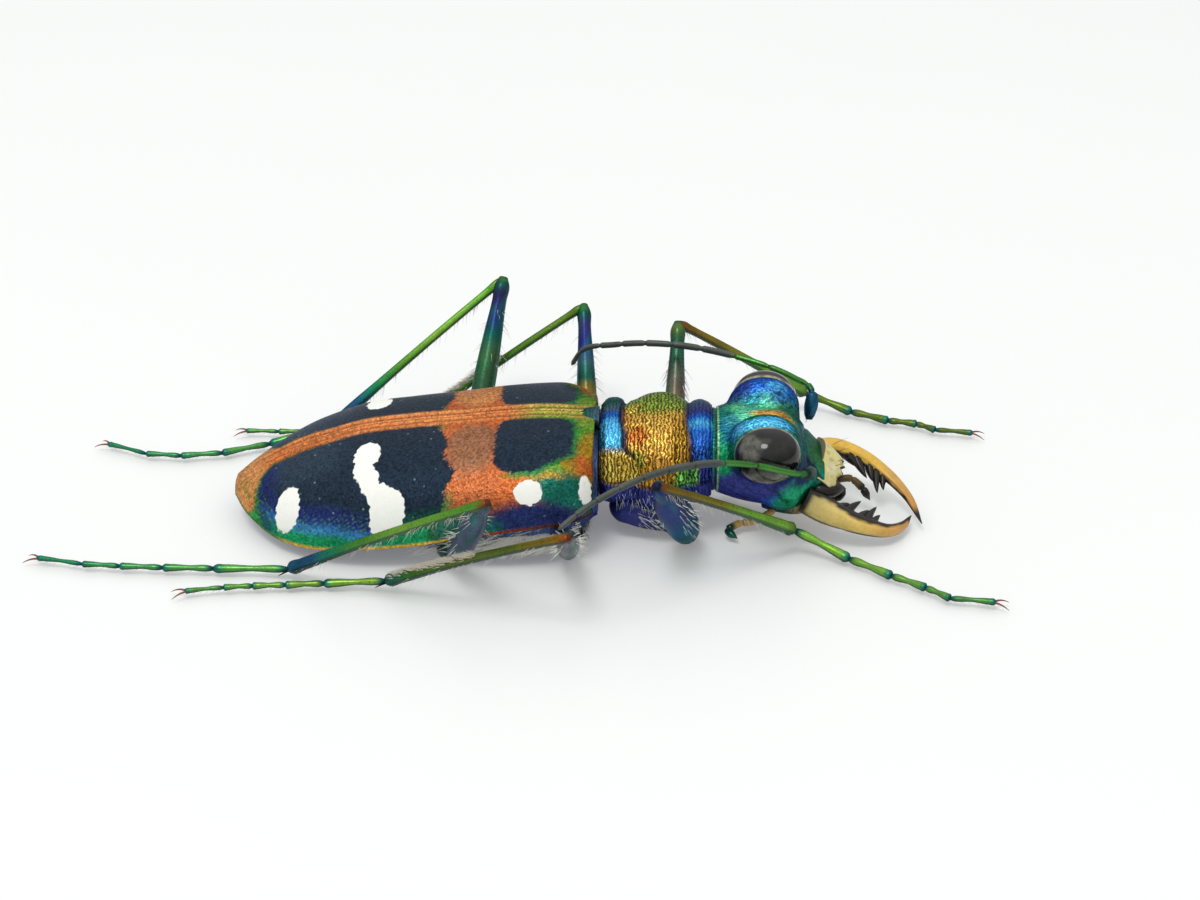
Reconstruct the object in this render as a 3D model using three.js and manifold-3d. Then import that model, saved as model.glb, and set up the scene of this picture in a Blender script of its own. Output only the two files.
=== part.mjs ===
// Tiger beetle, a still museum model at life size, in the pose of a set specimen.
// Millimetres. +X points to the head, +Y to the beetle's left, +Z up; the floor is z = 0.
// The body's own measures start at the base of the wing cases, which is x = 0 of the beetle group.
// Measures of a left and right pair are given for the left side and mirrored for the right one.
import * as THREE from "three";
import { mergeVertices } from "three/addons/utils/BufferGeometryUtils.js";
import Module from "manifold-3d";

const wasm = await Module();
wasm.setup();

// Driving dimensions
const GAP = 0.3; // clear space between two nodes that meet
const LEFT = 1;
const RIGHT = -1;
const BASE_TO_CENTRE = 2.5; // wing case base ahead of the middle of the whole length
const MIDLINE_SHIFT = 0.04; // sideways shift that centres the whole width
const UP = new THREE.Vector3(0, 0, 1);

// Wing cases: behind is the distance behind their base
const ELYTRON = {
  front: 0.15,
  length: 11.95,
  thickness: 0.5,
  squareness: 2.6,
  halfWidth: smoothProfile([0.15, 2.75], [0.45, 3.15], [1.1, 3.55], [1.8, 3.72], [3.0, 3.78],
    [4.5, 3.72], [6.2, 3.64], [7.9, 3.58], [8.7, 3.42], [9.6, 3.02], [10.2, 2.64], [10.7, 2.2],
    [11.2, 1.66], [11.6, 1.15], [11.95, 0.5]),
  ridge: smoothProfile([0.15, 3.84], [1.8, 3.89], [3.0, 3.8], [4.5, 3.63], [6.2, 3.45], [7.9, 3.15],
    [8.7, 2.88], [9.6, 2.56], [10.7, 2.0], [11.2, 1.71], [11.6, 1.46], [11.95, 1.25]),
  margin: smoothProfile([0.15, 1.7], [0.8, 1.73], [1.8, 1.7], [3.0, 1.52], [4.5, 1.2], [6.2, 0.86],
    [7.9, 0.7], [9.6, 0.48], [10.4, 0.47], [11.2, 0.6], [11.95, 0.85]),
};

// Pronotum and the underside of the first body ring: x ahead of the wing case base
const PROTHORAX = {
  back: 0.15,
  front: 3.55,
  suture: 2.35, // height of the seam between back plate and underside
  squareness: 2.6,
  top: smoothProfile([0.15, 3.8], [0.5, 3.98], [0.9, 3.8], [1.5, 4.0], [2.3, 4.04], [2.95, 3.86],
    [3.25, 3.98], [3.55, 3.9]),
  halfWidth: smoothProfile([0.15, 1.7], [0.5, 1.85], [0.95, 1.75], [1.6, 2.08], [2.3, 2.15],
    [2.95, 1.8], [3.25, 1.78], [3.55, 1.62]),
  bottom: smoothProfile([0.15, 1.0], [1.2, 0.8], [2.6, 0.85], [3.55, 1.15]),
};

// Head: x ahead of the wing case base
const HEAD = {
  back: 3.85,
  front: 7.2,
  top: smoothProfile([3.85, 3.72], [4.4, 3.9], [5.2, 3.98], [5.8, 3.92], [6.4, 3.45], [6.8, 2.98],
    [7.2, 2.5]),
  halfWidth: smoothProfile([3.85, 1.5], [4.4, 1.62], [5.2, 1.85], [6.0, 1.85], [6.6, 1.6],
    [7.2, 1.25]),
  bottom: smoothProfile([3.85, 1.4], [4.5, 1.1], [5.5, 1.0], [6.3, 1.05], [7.2, 1.55]),
};
const EYE = { at: [5.35, 1.75, 3.5], radii: [1.05, 0.98, 0.95] };
const BROW = { at: [5.3, 1.35, 3.75], radii: [1.0, 0.5, 0.6] };

// Legs: the measures that the two legs of a pair share, for the left one
const LEG_PAIRS = {
  fore: {
    coxa: { from: [2.15, 0.75, 1.35], to: [2.75, 1.25, 0.6], radius: 0.62 },
    trochanter: { from: [2.8, 1.3, 0.55], radius: 0.36 },
    femurRadius: 0.45,
    tibiaRadius: 0.27,
  },
  mid: {
    coxa: { from: [-0.7, 0.7, 0.7], to: [-0.85, 2.1, 0.6], radius: 0.5 },
    trochanter: { from: [-0.87, 2.25, 0.5], radius: 0.36 },
    femurRadius: 0.4,
    tibiaRadius: 0.26,
  },
  hind: {
    coxa: { from: [-4.7, 0.55, 0.5], to: [-5.0, 2.3, 0.5], radius: 0.45 },
    trochanter: { from: [-5.0, 2.8, 0.42], radius: 0.36 },
    femurRadius: 0.38,
    tibiaRadius: 0.26,
  },
};

// The pose of each leg: the root of its femur; heading from straight ahead towards the leg's own
// side and rise above level, in degrees, and length; heading and length of each tarsal segment
const LEG_POSES = {
  fore_right: {
    root: [2.9, 1.8, 0.45],
    femur: [105.6, 45.4, 5.4],
    tibia: [-36, -32, 6.4],
    tarsus: [[20, 1.97], [37, 1.6], [33, 1.2], [40, 0.9], [7, 1.4]],
  },
  fore_left: {
    root: [2.35, 1.8, 0.45],
    femur: [87.6, 47.6, 5.35],
    tibia: [24, -36.5, 6.25],
    tarsus: [[-18, 1.75], [-26, 1.4], [-12, 1.0], [-34, 0.73], [-8, 1.3]],
  },
  mid_right: {
    root: [-0.93, 3.0, 0.45],
    femur: [87, 36, 5.4],
    tibia: [-157, -27, 7.1],
    tarsus: [[-179, 1.96], [174, 1.2], [175, 1.02], [173, 0.89], [168, 1.2]],
  },
  mid_left: {
    root: [-0.48, 3.0, 0.45],
    femur: [94.1, 39.6, 5.66],
    tibia: [-163, -31, 6.98],
    tarsus: [[-168, 1.95], [-168, 1.18], [-174, 0.96], [180, 0.86], [179, 1.15]],
  },
  hind_right: {
    root: [-4.42, 4.0, 0.8],
    femur: [68.3, 47.5, 5.42],
    tibia: [-154, -31.3, 8.6],
    tarsus: [[-178, 2.42], [180, 1.61], [-178, 1.38], [-176, 1.21], [-168, 1.55]],
  },
  hind_left: {
    root: [-4.42, 4.0, 0.8],
    femur: [76.4, 50.5, 5.5],
    tibia: [-153.8, -33.8, 7.79],
    tarsus: [[-165, 2.28], [-156, 1.68], [-170, 1.4], [175, 1.22], [156, 1.6]],
  },
};
const FOOT_HEIGHT = 0.25; // axis of the tarsus above the floor
const CLAW = { length: 0.5, radius: 0.1, spread: 38 };
const SPUR = { length: 0.75, radius: 0.11, spread: 55 };

// Antennae: a few points on each one's line, and the lengths of its eleven segments
const ANTENNA_SEGMENTS = [1.0, 0.35, 1.9, 1.35, 1.25, 1.1, 1.0, 0.9, 0.85, 0.8, 0.75];
const ANTENNA_RADIUS = 0.25;
const ANTENNAE = {
  right: [[6.8, 1.8, 2.8], [6.3, 3.0, 3.4], [4.66, 3.75, 4.15], [2.99, 4.9, 4.75],
    [1.3, 6.3, 5.0], [-0.35, 7.5, 4.6], [-0.97, 8.1, 4.31]],
  left: [[6.85, 1.75, 2.75], [6.9, 2.15, 3.65], [6.35, 2.9, 3.7], [4.44, 3.85, 3.97],
    [2.4, 4.0, 4.3], [0.4, 4.35, 4.1], [-0.75, 4.55, 3.75], [-1.12, 4.6, 3.15]],
};

// Colours of the materials
const VIOLET = { color: "#2b2f8f", roughness: 0.35, metalness: 0.8 };
const GREEN = { color: "#1f7a4a", roughness: 0.35, metalness: 0.8 };
const COPPER = { color: "#b0702a", roughness: 0.4, metalness: 0.8 };
const NAVY = { color: "#131b3a", roughness: 0.6, metalness: 0.3 };
const IVORY = { color: "#d9c98a", roughness: 0.45, metalness: 0 };
const EYE_GREY = { color: "#3a3a3c", roughness: 0.12, metalness: 0 };
const DARK = { color: "#2a2f2a", roughness: 0.5, metalness: 0.2 };

// A smooth curve through pairs of place and value, as a function of the place
function smoothProfile(...pairs) {
  const places = pairs.map((pair) => pair[0]);
  const values = pairs.map((pair) => pair[1]);
  const curve = new THREE.CubicInterpolant(places, values, 1);
  return (place) => curve.evaluate(place)[0];
}

function vector([x, y, z], side = LEFT) {
  return new THREE.Vector3(x, y * side, z);
}

// The unit vector of a heading and a rise in degrees, on one side of the body
function direction([heading, rise], side) {
  const turn = THREE.MathUtils.degToRad(heading);
  const lift = THREE.MathUtils.degToRad(rise);
  return new THREE.Vector3(
    Math.cos(lift) * Math.cos(turn),
    Math.cos(lift) * Math.sin(turn) * side,
    Math.sin(lift),
  );
}

// Keeps only positions, with equal ones shared
function welded(geometry) {
  const bare = new THREE.BufferGeometry();
  bare.setIndex(geometry.index);
  bare.setAttribute("position", geometry.getAttribute("position"));
  return mergeVertices(bare, 1e-4);
}

// A solid for joining and cutting, with its faces pointing out
function solidFrom(geometry) {
  const shared = welded(geometry);
  const make = (triangles) =>
    new wasm.Manifold(
      new wasm.Mesh({
        numProp: 3,
        vertProperties: new Float32Array(shared.attributes.position.array),
        triVerts: new Uint32Array(triangles),
      }),
    );
  const triangles = Array.from(shared.index.array);
  const solid = make(triangles);
  if (solid.volume() > 0) {
    return solid;
  }
  return make(triangles.reverse());
}

// The largest closed surface of a solid
function largest(solid) {
  const pieces = solid.decompose();
  return pieces.reduce((best, piece) => (piece.volume() > best.volume() ? piece : best));
}

function joined(solids) {
  return solids.reduce((whole, piece) => whole.add(piece));
}

function geometryFrom(solid) {
  const mesh = solid.getMesh();
  const geometry = new THREE.BufferGeometry();
  const stride = mesh.numProp;
  const count = mesh.vertProperties.length / stride;
  const positions = new Float32Array(count * 3);
  for (let i = 0; i < count; i += 1) {
    positions.set(mesh.vertProperties.subarray(i * stride, i * stride + 3), i * 3);
  }
  geometry.setAttribute("position", new THREE.BufferAttribute(positions, 3));
  geometry.setIndex(new THREE.BufferAttribute(new Uint32Array(mesh.triVerts), 1));
  geometry.computeVertexNormals();
  return geometry;
}

// A node of the model: its largest closed surface as a named mesh
function node(name, solid, look) {
  const material = new THREE.MeshStandardMaterial(look);
  const mesh = new THREE.Mesh(geometryFrom(largest(solid)), material);
  mesh.name = name;
  return mesh;
}

// Moves every point of a solid's geometry by a function of its old place
function reshaped(geometry, place) {
  const shared = welded(geometry);
  const position = shared.attributes.position;
  const point = new THREE.Vector3();
  for (let i = 0; i < position.count; i += 1) {
    point.fromBufferAttribute(position, i);
    place(point);
    position.setXYZ(i, point.x, point.y, point.z);
  }
  return shared;
}

// Nothing reaches below the floor: what would, becomes a small flat on it
function onFloor(geometry) {
  return reshaped(geometry, (point) => {
    point.z = Math.max(point.z, 0);
  });
}

function bulge(share, squareness) {
  return Math.sign(share) * Math.abs(share) ** (2 / squareness);
}

// A closed body through a row of cross sections. A station holds its centre, the directions
// across and up, the half width, the height above and below the centre, and its squareness.
function loft(stations, sides) {
  const last = stations.length - 1;
  const geometry = reshaped(new THREE.CylinderGeometry(1, 1, 1, sides, last), (point) => {
    const station = stations[Math.round((0.5 - point.y) * last)];
    const across = bulge(point.x, station.squareness) * station.halfWidth;
    const height = point.z > 0 ? station.above : station.below;
    const up = bulge(point.z, station.squareness) * height;
    point.copy(station.centre);
    point.addScaledVector(station.across, across);
    point.addScaledVector(station.up, up);
  });
  return onFloor(geometry);
}

// Stations across the body at even steps from one place along it to another
function bodyStations(from, to, steps, measure) {
  const stations = [];
  for (let i = 0; i <= steps; i += 1) {
    const x = THREE.MathUtils.lerp(from, to, i / steps);
    const { middle, halfWidth, top, bottom, squareness } = measure(x);
    stations.push({
      centre: new THREE.Vector3(x, 0, middle),
      across: new THREE.Vector3(0, 1, 0),
      up: UP,
      halfWidth,
      above: top - middle,
      below: middle - bottom,
      squareness,
    });
  }
  return stations;
}

// A round or oval limb along a curve; sizes are rows of share of the length, half width and
// half height. With grow it is that much larger all round, as the socket that it sits in.
function limb(curve, sizes, { sides = 8, grow = 0 } = {}) {
  const stations = sizes.map(([share, halfWidth, halfHeight], i) => {
    const along = curve.getTangentAt(share);
    const across = new THREE.Vector3().crossVectors(UP, along).normalize();
    const centre = curve.getPointAt(share);
    if (i === 0) {
      centre.addScaledVector(along, -grow);
    }
    if (i === sizes.length - 1) {
      centre.addScaledVector(along, grow);
    }
    return {
      centre,
      across,
      up: new THREE.Vector3().crossVectors(along, across),
      halfWidth: halfWidth + grow,
      above: halfHeight + grow,
      below: halfHeight + grow,
      squareness: 2,
    };
  });
  return solidFrom(loft(stations, sides));
}

function ellipsoid({ at, radii }, side, grow = 0, detail = 18) {
  const ball = new THREE.SphereGeometry(1, detail, Math.round(detail * 0.6));
  ball.rotateX(Math.PI / 2);
  ball.scale(radii[0] + grow, radii[1] + grow, radii[2] + grow);
  ball.translate(at[0], at[1] * side, at[2]);
  return solidFrom(ball);
}

// A short pointed spine: a spur, a claw or a tooth
function spine(root, along, length, radius, sides = 5) {
  const cone = new THREE.ConeGeometry(radius, length, sides);
  cone.translate(0, length / 2, 0);
  const turn = new THREE.Quaternion().setFromUnitVectors(new THREE.Vector3(0, 1, 0), along);
  cone.applyQuaternion(turn);
  cone.translate(root.x, root.y, root.z);
  return solidFrom(onFloor(cone));
}

// Parts two limbs at the joint between them by the plane that halves their angle
function keepBefore(solid, joint, before, after) {
  const facing = before.clone().add(after).normalize().negate();
  return solid.trimByPlane(facing.toArray(), facing.dot(joint) + GAP / 2);
}

function keepAfter(solid, joint, before, after) {
  const facing = before.clone().add(after).normalize();
  return solid.trimByPlane(facing.toArray(), facing.dot(joint) + GAP / 2);
}

// Wing cases

// One wing case: a curved shell from the seam on the back to the side edge
function elytronShell(side) {
  const lengthSteps = 26;
  const acrossSteps = 9;
  const shell = reshaped(
    new THREE.BoxGeometry(1, 1, 1, lengthSteps, acrossSteps, 1),
    (point) => {
      const share = point.x + 0.5;
      const behind = THREE.MathUtils.lerp(ELYTRON.front, ELYTRON.length, share ** 0.93);
      const angle = ((point.y + 0.5) * Math.PI) / 2;
      const seam = GAP / 2;
      const width = ELYTRON.halfWidth(behind) - seam;
      const height = ELYTRON.ridge(behind) - ELYTRON.margin(behind);
      const wall = Math.min(ELYTRON.thickness, width * 0.55, height * 0.55);
      const inset = point.z > 0 ? 0 : wall;
      const across = bulge(Math.sin(angle), ELYTRON.squareness) * (width - inset);
      const up = bulge(Math.cos(angle), ELYTRON.squareness) * (height - inset);
      point.set(-behind, (seam + across) * side, ELYTRON.margin(behind) + up);
    },
  );
  return solidFrom(shell);
}

// The triangular plate between the wing case bases, and with grow the notch that it sits in
function scutellumSolid(grow) {
  const halfBase = 0.45 + grow * 1.5;
  const tip = -0.95 - grow * 2.3;
  const outline = new THREE.Shape();
  outline.moveTo(-0.12 + grow, -halfBase);
  outline.lineTo(-0.12 + grow, halfBase);
  outline.lineTo(tip, 0);
  outline.closePath();
  const height = 0.5 + grow * 2;
  const plate = new THREE.ExtrudeGeometry(outline, { depth: height, bevelEnabled: false });
  plate.translate(0, 0, 3.45 - grow);
  return solidFrom(plate);
}

function makeElytra() {
  const room = joined([scutellumSolid(GAP), ...legSockets("hind")]);
  return [
    node("elytron_left", elytronShell(LEFT).subtract(room), NAVY),
    node("elytron_right", elytronShell(RIGHT).subtract(room), NAVY),
    node("scutellum", scutellumSolid(0), GREEN),
  ];
}

// Body under the wing cases

// The part of the body that the wing cases cover, between two distances behind their base
function coveredBody(from, to, steps, bottom) {
  const inner = ELYTRON.thickness + GAP * 1.2;
  const stations = bodyStations(-from, -to, steps, (x) => {
    const middle = ELYTRON.margin(-x);
    return {
      middle,
      halfWidth: Math.max(ELYTRON.halfWidth(-x) - inner, 0.25),
      top: Math.max(ELYTRON.ridge(-x) - inner, middle + 0.1),
      bottom: bottom(-x),
      squareness: ELYTRON.squareness,
    };
  });
  return solidFrom(loft(stations, 24));
}

// The flank below the side edges of the wing cases
function flank(from, to, steps, bottom) {
  const stations = bodyStations(-from, -to, steps, (x) => {
    const top = ELYTRON.margin(-x) - GAP * 1.2;
    const middle = THREE.MathUtils.lerp(bottom(-x), top, 0.6);
    return {
      middle,
      halfWidth: ELYTRON.halfWidth(-x) - 0.3,
      top,
      bottom: bottom(-x),
      squareness: 3,
    };
  });
  return solidFrom(loft(stations, 20));
}

// The underside falls to the floor under the abdomen
const thoraxBottom = smoothProfile([0.15, 0.6], [1.0, 0.35], [3.0, 0.2], [5.2, 0.15]);
const bellyBottom = smoothProfile([5.4, 0.12], [6.2, -0.1], [8.0, -0.14], [10.0, -0.1],
  [11.3, 0.3]);

function makeTrunk() {
  const thorax = joined([coveredBody(0.3, 5.25, 10, thoraxBottom), flank(0.3, 5.25, 6, thoraxBottom)]);
  const abdomen = joined([
    coveredBody(5.55, 11.2, 12, bellyBottom),
    flank(5.55, 9.4, 5, bellyBottom),
  ]);
  const sockets = joined([...legSockets("mid"), ...legSockets("hind")]);
  return [
    node("pterothorax", thorax.subtract(sockets), VIOLET),
    node("abdomen", abdomen.subtract(sockets), VIOLET),
  ];
}

// First body ring with its back plate

function makeProthorax() {
  const stations = bodyStations(PROTHORAX.back, PROTHORAX.front, 14, (x) => ({
    middle: PROTHORAX.suture + 0.15,
    halfWidth: PROTHORAX.halfWidth(x),
    top: PROTHORAX.top(x),
    bottom: PROTHORAX.bottom(x),
    squareness: PROTHORAX.squareness,
  }));
  const ring = solidFrom(loft(stations, 24));
  const upper = ring.trimByPlane([0, 0, 1], PROTHORAX.suture + GAP / 2);
  const lower = ring.trimByPlane([0, 0, -1], GAP / 2 - PROTHORAX.suture);
  return [
    node("pronotum", upper, COPPER),
    node("prothorax_underside", lower.subtract(joined(legSockets("fore"))), VIOLET),
  ];
}

// Head

function headCore() {
  const stations = bodyStations(HEAD.back, HEAD.front, 13, (x) => ({
    middle: THREE.MathUtils.lerp(HEAD.bottom(x), HEAD.top(x), 0.52),
    halfWidth: HEAD.halfWidth(x),
    top: HEAD.top(x),
    bottom: HEAD.bottom(x),
    squareness: 2.4,
  }));
  const skull = solidFrom(loft(stations, 24));
  const brows = [LEFT, RIGHT].map((side) => ellipsoid(BROW, side));
  return joined([skull, ...brows]);
}

// The upper lip, with its teeth along the front edge
function labrumSolid(grow) {
  const halfWidth = 0.95 + grow;
  const length = 0.95;
  const teeth = 5;
  const outline = new THREE.Shape();
  outline.moveTo(-grow, -halfWidth);
  for (let i = 0; i < teeth; i += 1) {
    const start = THREE.MathUtils.lerp(-halfWidth, halfWidth, i / teeth);
    const end = THREE.MathUtils.lerp(-halfWidth, halfWidth, (i + 1) / teeth);
    const bow = 1 - Math.abs(i - (teeth - 1) / 2) * 0.08;
    outline.lineTo(length * bow * 0.86, start);
    outline.lineTo(length * bow, (start + end) / 2);
    outline.lineTo(length * bow * 0.86, end);
  }
  outline.lineTo(-grow, halfWidth);
  outline.closePath();
  const plate = new THREE.ExtrudeGeometry(outline, { depth: 0.5 + 2 * grow, bevelEnabled: false });
  plate.translate(0, 0, -0.5 - grow);
  plate.rotateY(THREE.MathUtils.degToRad(38));
  plate.translate(7.5, 0, 2.6);
  return solidFrom(plate);
}

// A jaw: a curved tapering blade with teeth on its inner edge
function mandibleSolid(sideName, grow) {
  const side = sideName === "left" ? LEFT : RIGHT;
  const points = MANDIBLES[sideName].map((point) => vector(point, side));
  const curve = new THREE.CatmullRomCurve3(points);
  const blade = limb(curve, [[0, 0.5, 0.4], [0.15, 0.52, 0.4], [0.35, 0.45, 0.34], [0.55, 0.38, 0.3],
    [0.72, 0.31, 0.26], [0.86, 0.22, 0.21], [0.95, 0.12, 0.12], [1, 0.04, 0.04]], { grow });
  if (grow > 0) {
    return blade;
  }
  const teeth = [[0.3, 0.7], [0.46, 0.6], [0.6, 0.5]].map(([share, length]) => {
    const along = curve.getTangentAt(share);
    const inward = new THREE.Vector3().crossVectors(along, UP).multiplyScalar(side);
    const lean = along.clone().multiplyScalar(0.45).add(inward).normalize();
    return spine(curve.getPointAt(share), lean, length + 0.35, 0.22);
  });
  return joined([blade, ...teeth]);
}

const MANDIBLES = {
  right: [[6.75, 1.25, 1.45], [7.4, 1.5, 1.12], [8.6, 1.65, 0.68], [9.3, 1.5, 0.45],
    [9.85, 0.95, 0.28], [10.2, 0.25, 0.18]],
  left: [[6.95, 1.3, 1.9], [7.8, 1.65, 1.75], [8.6, 1.65, 1.45], [9.35, 1.25, 1.1],
    [10.1, 0.35, 0.7], [10.5, -0.8, 0.3]],
};

const PALPS = {
  maxillary_palp_left: [LEFT, [[7.5, 0.4, 0.75], [8.1, 0.5, 0.9], [8.6, 0.5, 0.85], [8.95, 0.4, 0.45]]],
  maxillary_palp_right: [RIGHT, [[6.95, 0.4, 0.75], [7.4, 0.35, 0.8], [7.8, 0.3, 1.0], [7.95, 0.25, 1.15]]],
  labial_palp_left: [LEFT, [[5.0, 0.95, 0.3], [4.4, 1.15, 0.3], [3.95, 1.45, 0.3]]],
  labial_palp_right: [RIGHT, [[5.1, 0.95, 0.3], [4.5, 1.1, 0.36], [4.2, 1.35, 0.33], [4.5, 1.75, 0.27]]],
};

function palpSolid(side, points) {
  const curve = new THREE.CatmullRomCurve3(points.map((point) => vector(point, side)));
  const sizes = [];
  const segments = 3;
  for (let i = 0; i < segments; i += 1) {
    sizes.push([i / segments, 0.2, 0.2]);
    sizes.push([(i + 0.8) / segments, 0.27, 0.27]);
  }
  sizes.push([1, 0.16, 0.16]);
  return limb(curve, sizes, { sides: 7 });
}

// The lower lip: a flat plate under the mouth
function labiumSolid() {
  const plate = new THREE.BoxGeometry(1.3, 1.2, 0.5, 2, 4, 1);
  plate.rotateY(THREE.MathUtils.degToRad(-6));
  plate.translate(6.0, 0, 0.48);
  return solidFrom(onFloor(plate));
}

function makeHead() {
  const sides = [["left", LEFT], ["right", RIGHT]];
  const sockets = [labrumSolid(GAP)];
  for (const [sideName, side] of sides) {
    sockets.push(ellipsoid(EYE, side, GAP));
    sockets.push(ellipsoid({ at: ANTENNAE[sideName][0], radii: [0.3, 0.3, 0.3] }, side, GAP, 10));
    sockets.push(mandibleSolid(sideName, GAP));
  }
  const pieces = [node("head", headCore().subtract(joined(sockets)), GREEN)];
  pieces.push(node("labrum", labrumSolid(0), IVORY));
  pieces.push(node("labium", labiumSolid(), DARK));
  for (const [sideName, side] of sides) {
    pieces.push(node(`eye_${sideName}`, ellipsoid(EYE, side), EYE_GREY));
    pieces.push(node(`mandible_${sideName}`, mandibleSolid(sideName, 0), IVORY));
  }
  for (const [name, [side, points]] of Object.entries(PALPS)) {
    pieces.push(node(name, palpSolid(side, points), DARK));
  }
  return pieces;
}

// An antenna in three nodes: the first segment, the three after it, and the seven of the whip
function makeAntenna(sideName) {
  const side = sideName === "left" ? LEFT : RIGHT;
  const curve = new THREE.CatmullRomCurve3(ANTENNAE[sideName].map((point) => vector(point, side)));
  const total = ANTENNA_SEGMENTS.reduce((sum, length) => sum + length);
  const joints = [0];
  for (const length of ANTENNA_SEGMENTS) {
    joints.push(Math.min(joints[joints.length - 1] + length / total, 1));
  }
  const parts = [["scape", 0, 1], ["base", 1, 4], ["whip", 4, 11]];
  return parts.map(([part, first, after]) => {
    const sizes = [];
    for (let i = first; i < after; i += 1) {
      const radius = ANTENNA_RADIUS * (i === 0 ? 1.12 : 1) * (i < 8 ? 1 : 1 - (i - 7) * 0.14);
      const span = joints[i + 1] - joints[i];
      sizes.push([joints[i], radius * 0.86, radius * 0.86]);
      if (span > 0.06) {
        sizes.push([joints[i] + span * 0.5, radius * 0.94, radius * 0.94]);
      }
      sizes.push([joints[i] + span * 0.88, radius, radius]);
    }
    sizes.push([joints[after], sizes[sizes.length - 1][1] * 0.9, sizes[sizes.length - 1][2] * 0.9]);
    let solid = limb(curve, sizes, { sides: 7 });
    if (first > 0) {
      const tangent = curve.getTangentAt(joints[first]);
      solid = keepAfter(solid, curve.getPointAt(joints[first]), tangent, tangent);
    }
    if (after < ANTENNA_SEGMENTS.length) {
      const tangent = curve.getTangentAt(joints[after]);
      solid = keepBefore(solid, curve.getPointAt(joints[after]), tangent, tangent);
    }
    return node(`antenna_${sideName}_${part}`, solid, DARK);
  });
}

// Legs

// The joints and directions of one leg, worked out from its pair's measures and its pose
function legFrame(name) {
  const [pairName, sideName] = name.split("_");
  const side = sideName === "left" ? LEFT : RIGHT;
  const pair = LEG_PAIRS[pairName];
  const pose = LEG_POSES[name];
  const step = (from, [heading, rise, length]) => {
    return from.clone().addScaledVector(direction([heading, rise], side), length);
  };
  const coxaStart = vector(pair.coxa.from, side);
  const coxaEnd = vector(pair.coxa.to, side);
  const trochanterStart = vector(pair.trochanter.from, side);
  const root = vector(pose.root, side);
  const knee = step(root, pose.femur);
  const ankle = step(knee, pose.tibia);
  const toes = [ankle];
  for (const [heading, length] of pose.tarsus) {
    const from = toes[toes.length - 1];
    const drop = from.z - FOOT_HEIGHT;
    const reach = Math.sqrt(length ** 2 - drop ** 2);
    const next = step(from, [heading, 0, reach]);
    next.z = FOOT_HEIGHT;
    toes.push(next);
  }
  const along = (from, to) => to.clone().sub(from).normalize();
  return {
    pair,
    coxaStart,
    coxaEnd,
    trochanterStart,
    root,
    knee,
    ankle,
    toes,
    trochanterAlong: along(trochanterStart, root),
    femurAlong: along(root, knee),
    tibiaAlong: along(knee, ankle),
    tarsusAlong: along(ankle, toes[1]),
  };
}

function coxaSolid(leg, grow) {
  const line = new THREE.LineCurve3(leg.coxaStart, leg.coxaEnd);
  const radius = leg.pair.coxa.radius;
  const sizes = [[0, 0.75], [0.3, 1], [0.75, 0.95], [1, 0.7]];
  return limb(line, sizes.map(([share, part]) => [share, radius * part, radius * part]), {
    sides: 10,
    grow,
  });
}

function trochanterSolid(leg, grow) {
  const line = new THREE.LineCurve3(leg.trochanterStart, leg.root);
  const radius = leg.pair.trochanter.radius;
  const sizes = [[0, 0.8], [0.5, 1], [1, 0.85]];
  const solid = limb(line, sizes.map(([share, part]) => [share, radius * part, radius * part]), { grow });
  if (grow > 0) {
    return solid;
  }
  const clear = solid.subtract(coxaSolid(leg, GAP));
  return keepBefore(clear, leg.root, leg.trochanterAlong, leg.femurAlong);
}

function femurSolid(leg, grow) {
  const line = new THREE.LineCurve3(
    leg.root.clone().addScaledVector(leg.femurAlong, -0.1),
    leg.knee.clone().addScaledVector(leg.femurAlong, 0.15),
  );
  const radius = leg.pair.femurRadius;
  const sizes = [[0, 0.28], [0.12, radius], [0.3, radius * 1.05], [0.6, radius * 0.82], [0.85, 0.26],
    [0.95, 0.29], [1, 0.24]];
  const solid = limb(line, sizes.map(([share, size]) => [share, size, size]), { grow });
  if (grow > 0) {
    return solid;
  }
  const clear = keepAfter(solid, leg.root, leg.trochanterAlong, leg.femurAlong);
  return keepBefore(clear, leg.knee, leg.femurAlong, leg.tibiaAlong);
}

// The shin with the two spurs at its end, which stand clear of the tarsus
function tibiaSolid(leg) {
  const line = new THREE.LineCurve3(
    leg.knee.clone().addScaledVector(leg.tibiaAlong, -0.12),
    leg.ankle,
  );
  const radius = leg.pair.tibiaRadius;
  const sizes = [[0, 0.85], [0.05, 1], [0.5, 0.96], [0.94, 1.1], [1, 0.96]];
  const shaft = limb(line, sizes.map(([share, part]) => [share, radius * part, radius * part]));
  const trimmed = keepBefore(
    keepAfter(shaft, leg.knee, leg.femurAlong, leg.tibiaAlong),
    leg.ankle,
    leg.tibiaAlong,
    leg.tarsusAlong,
  );
  const root = leg.ankle.clone().addScaledVector(leg.tibiaAlong, -0.5);
  const spurs = [-SPUR.spread, SPUR.spread].map((turn) => {
    const lean = leg.tibiaAlong.clone().applyAxisAngle(UP, THREE.MathUtils.degToRad(turn));
    return spine(root, lean, SPUR.length + 0.3, SPUR.radius);
  });
  return joined([trimmed, ...spurs]);
}

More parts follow.
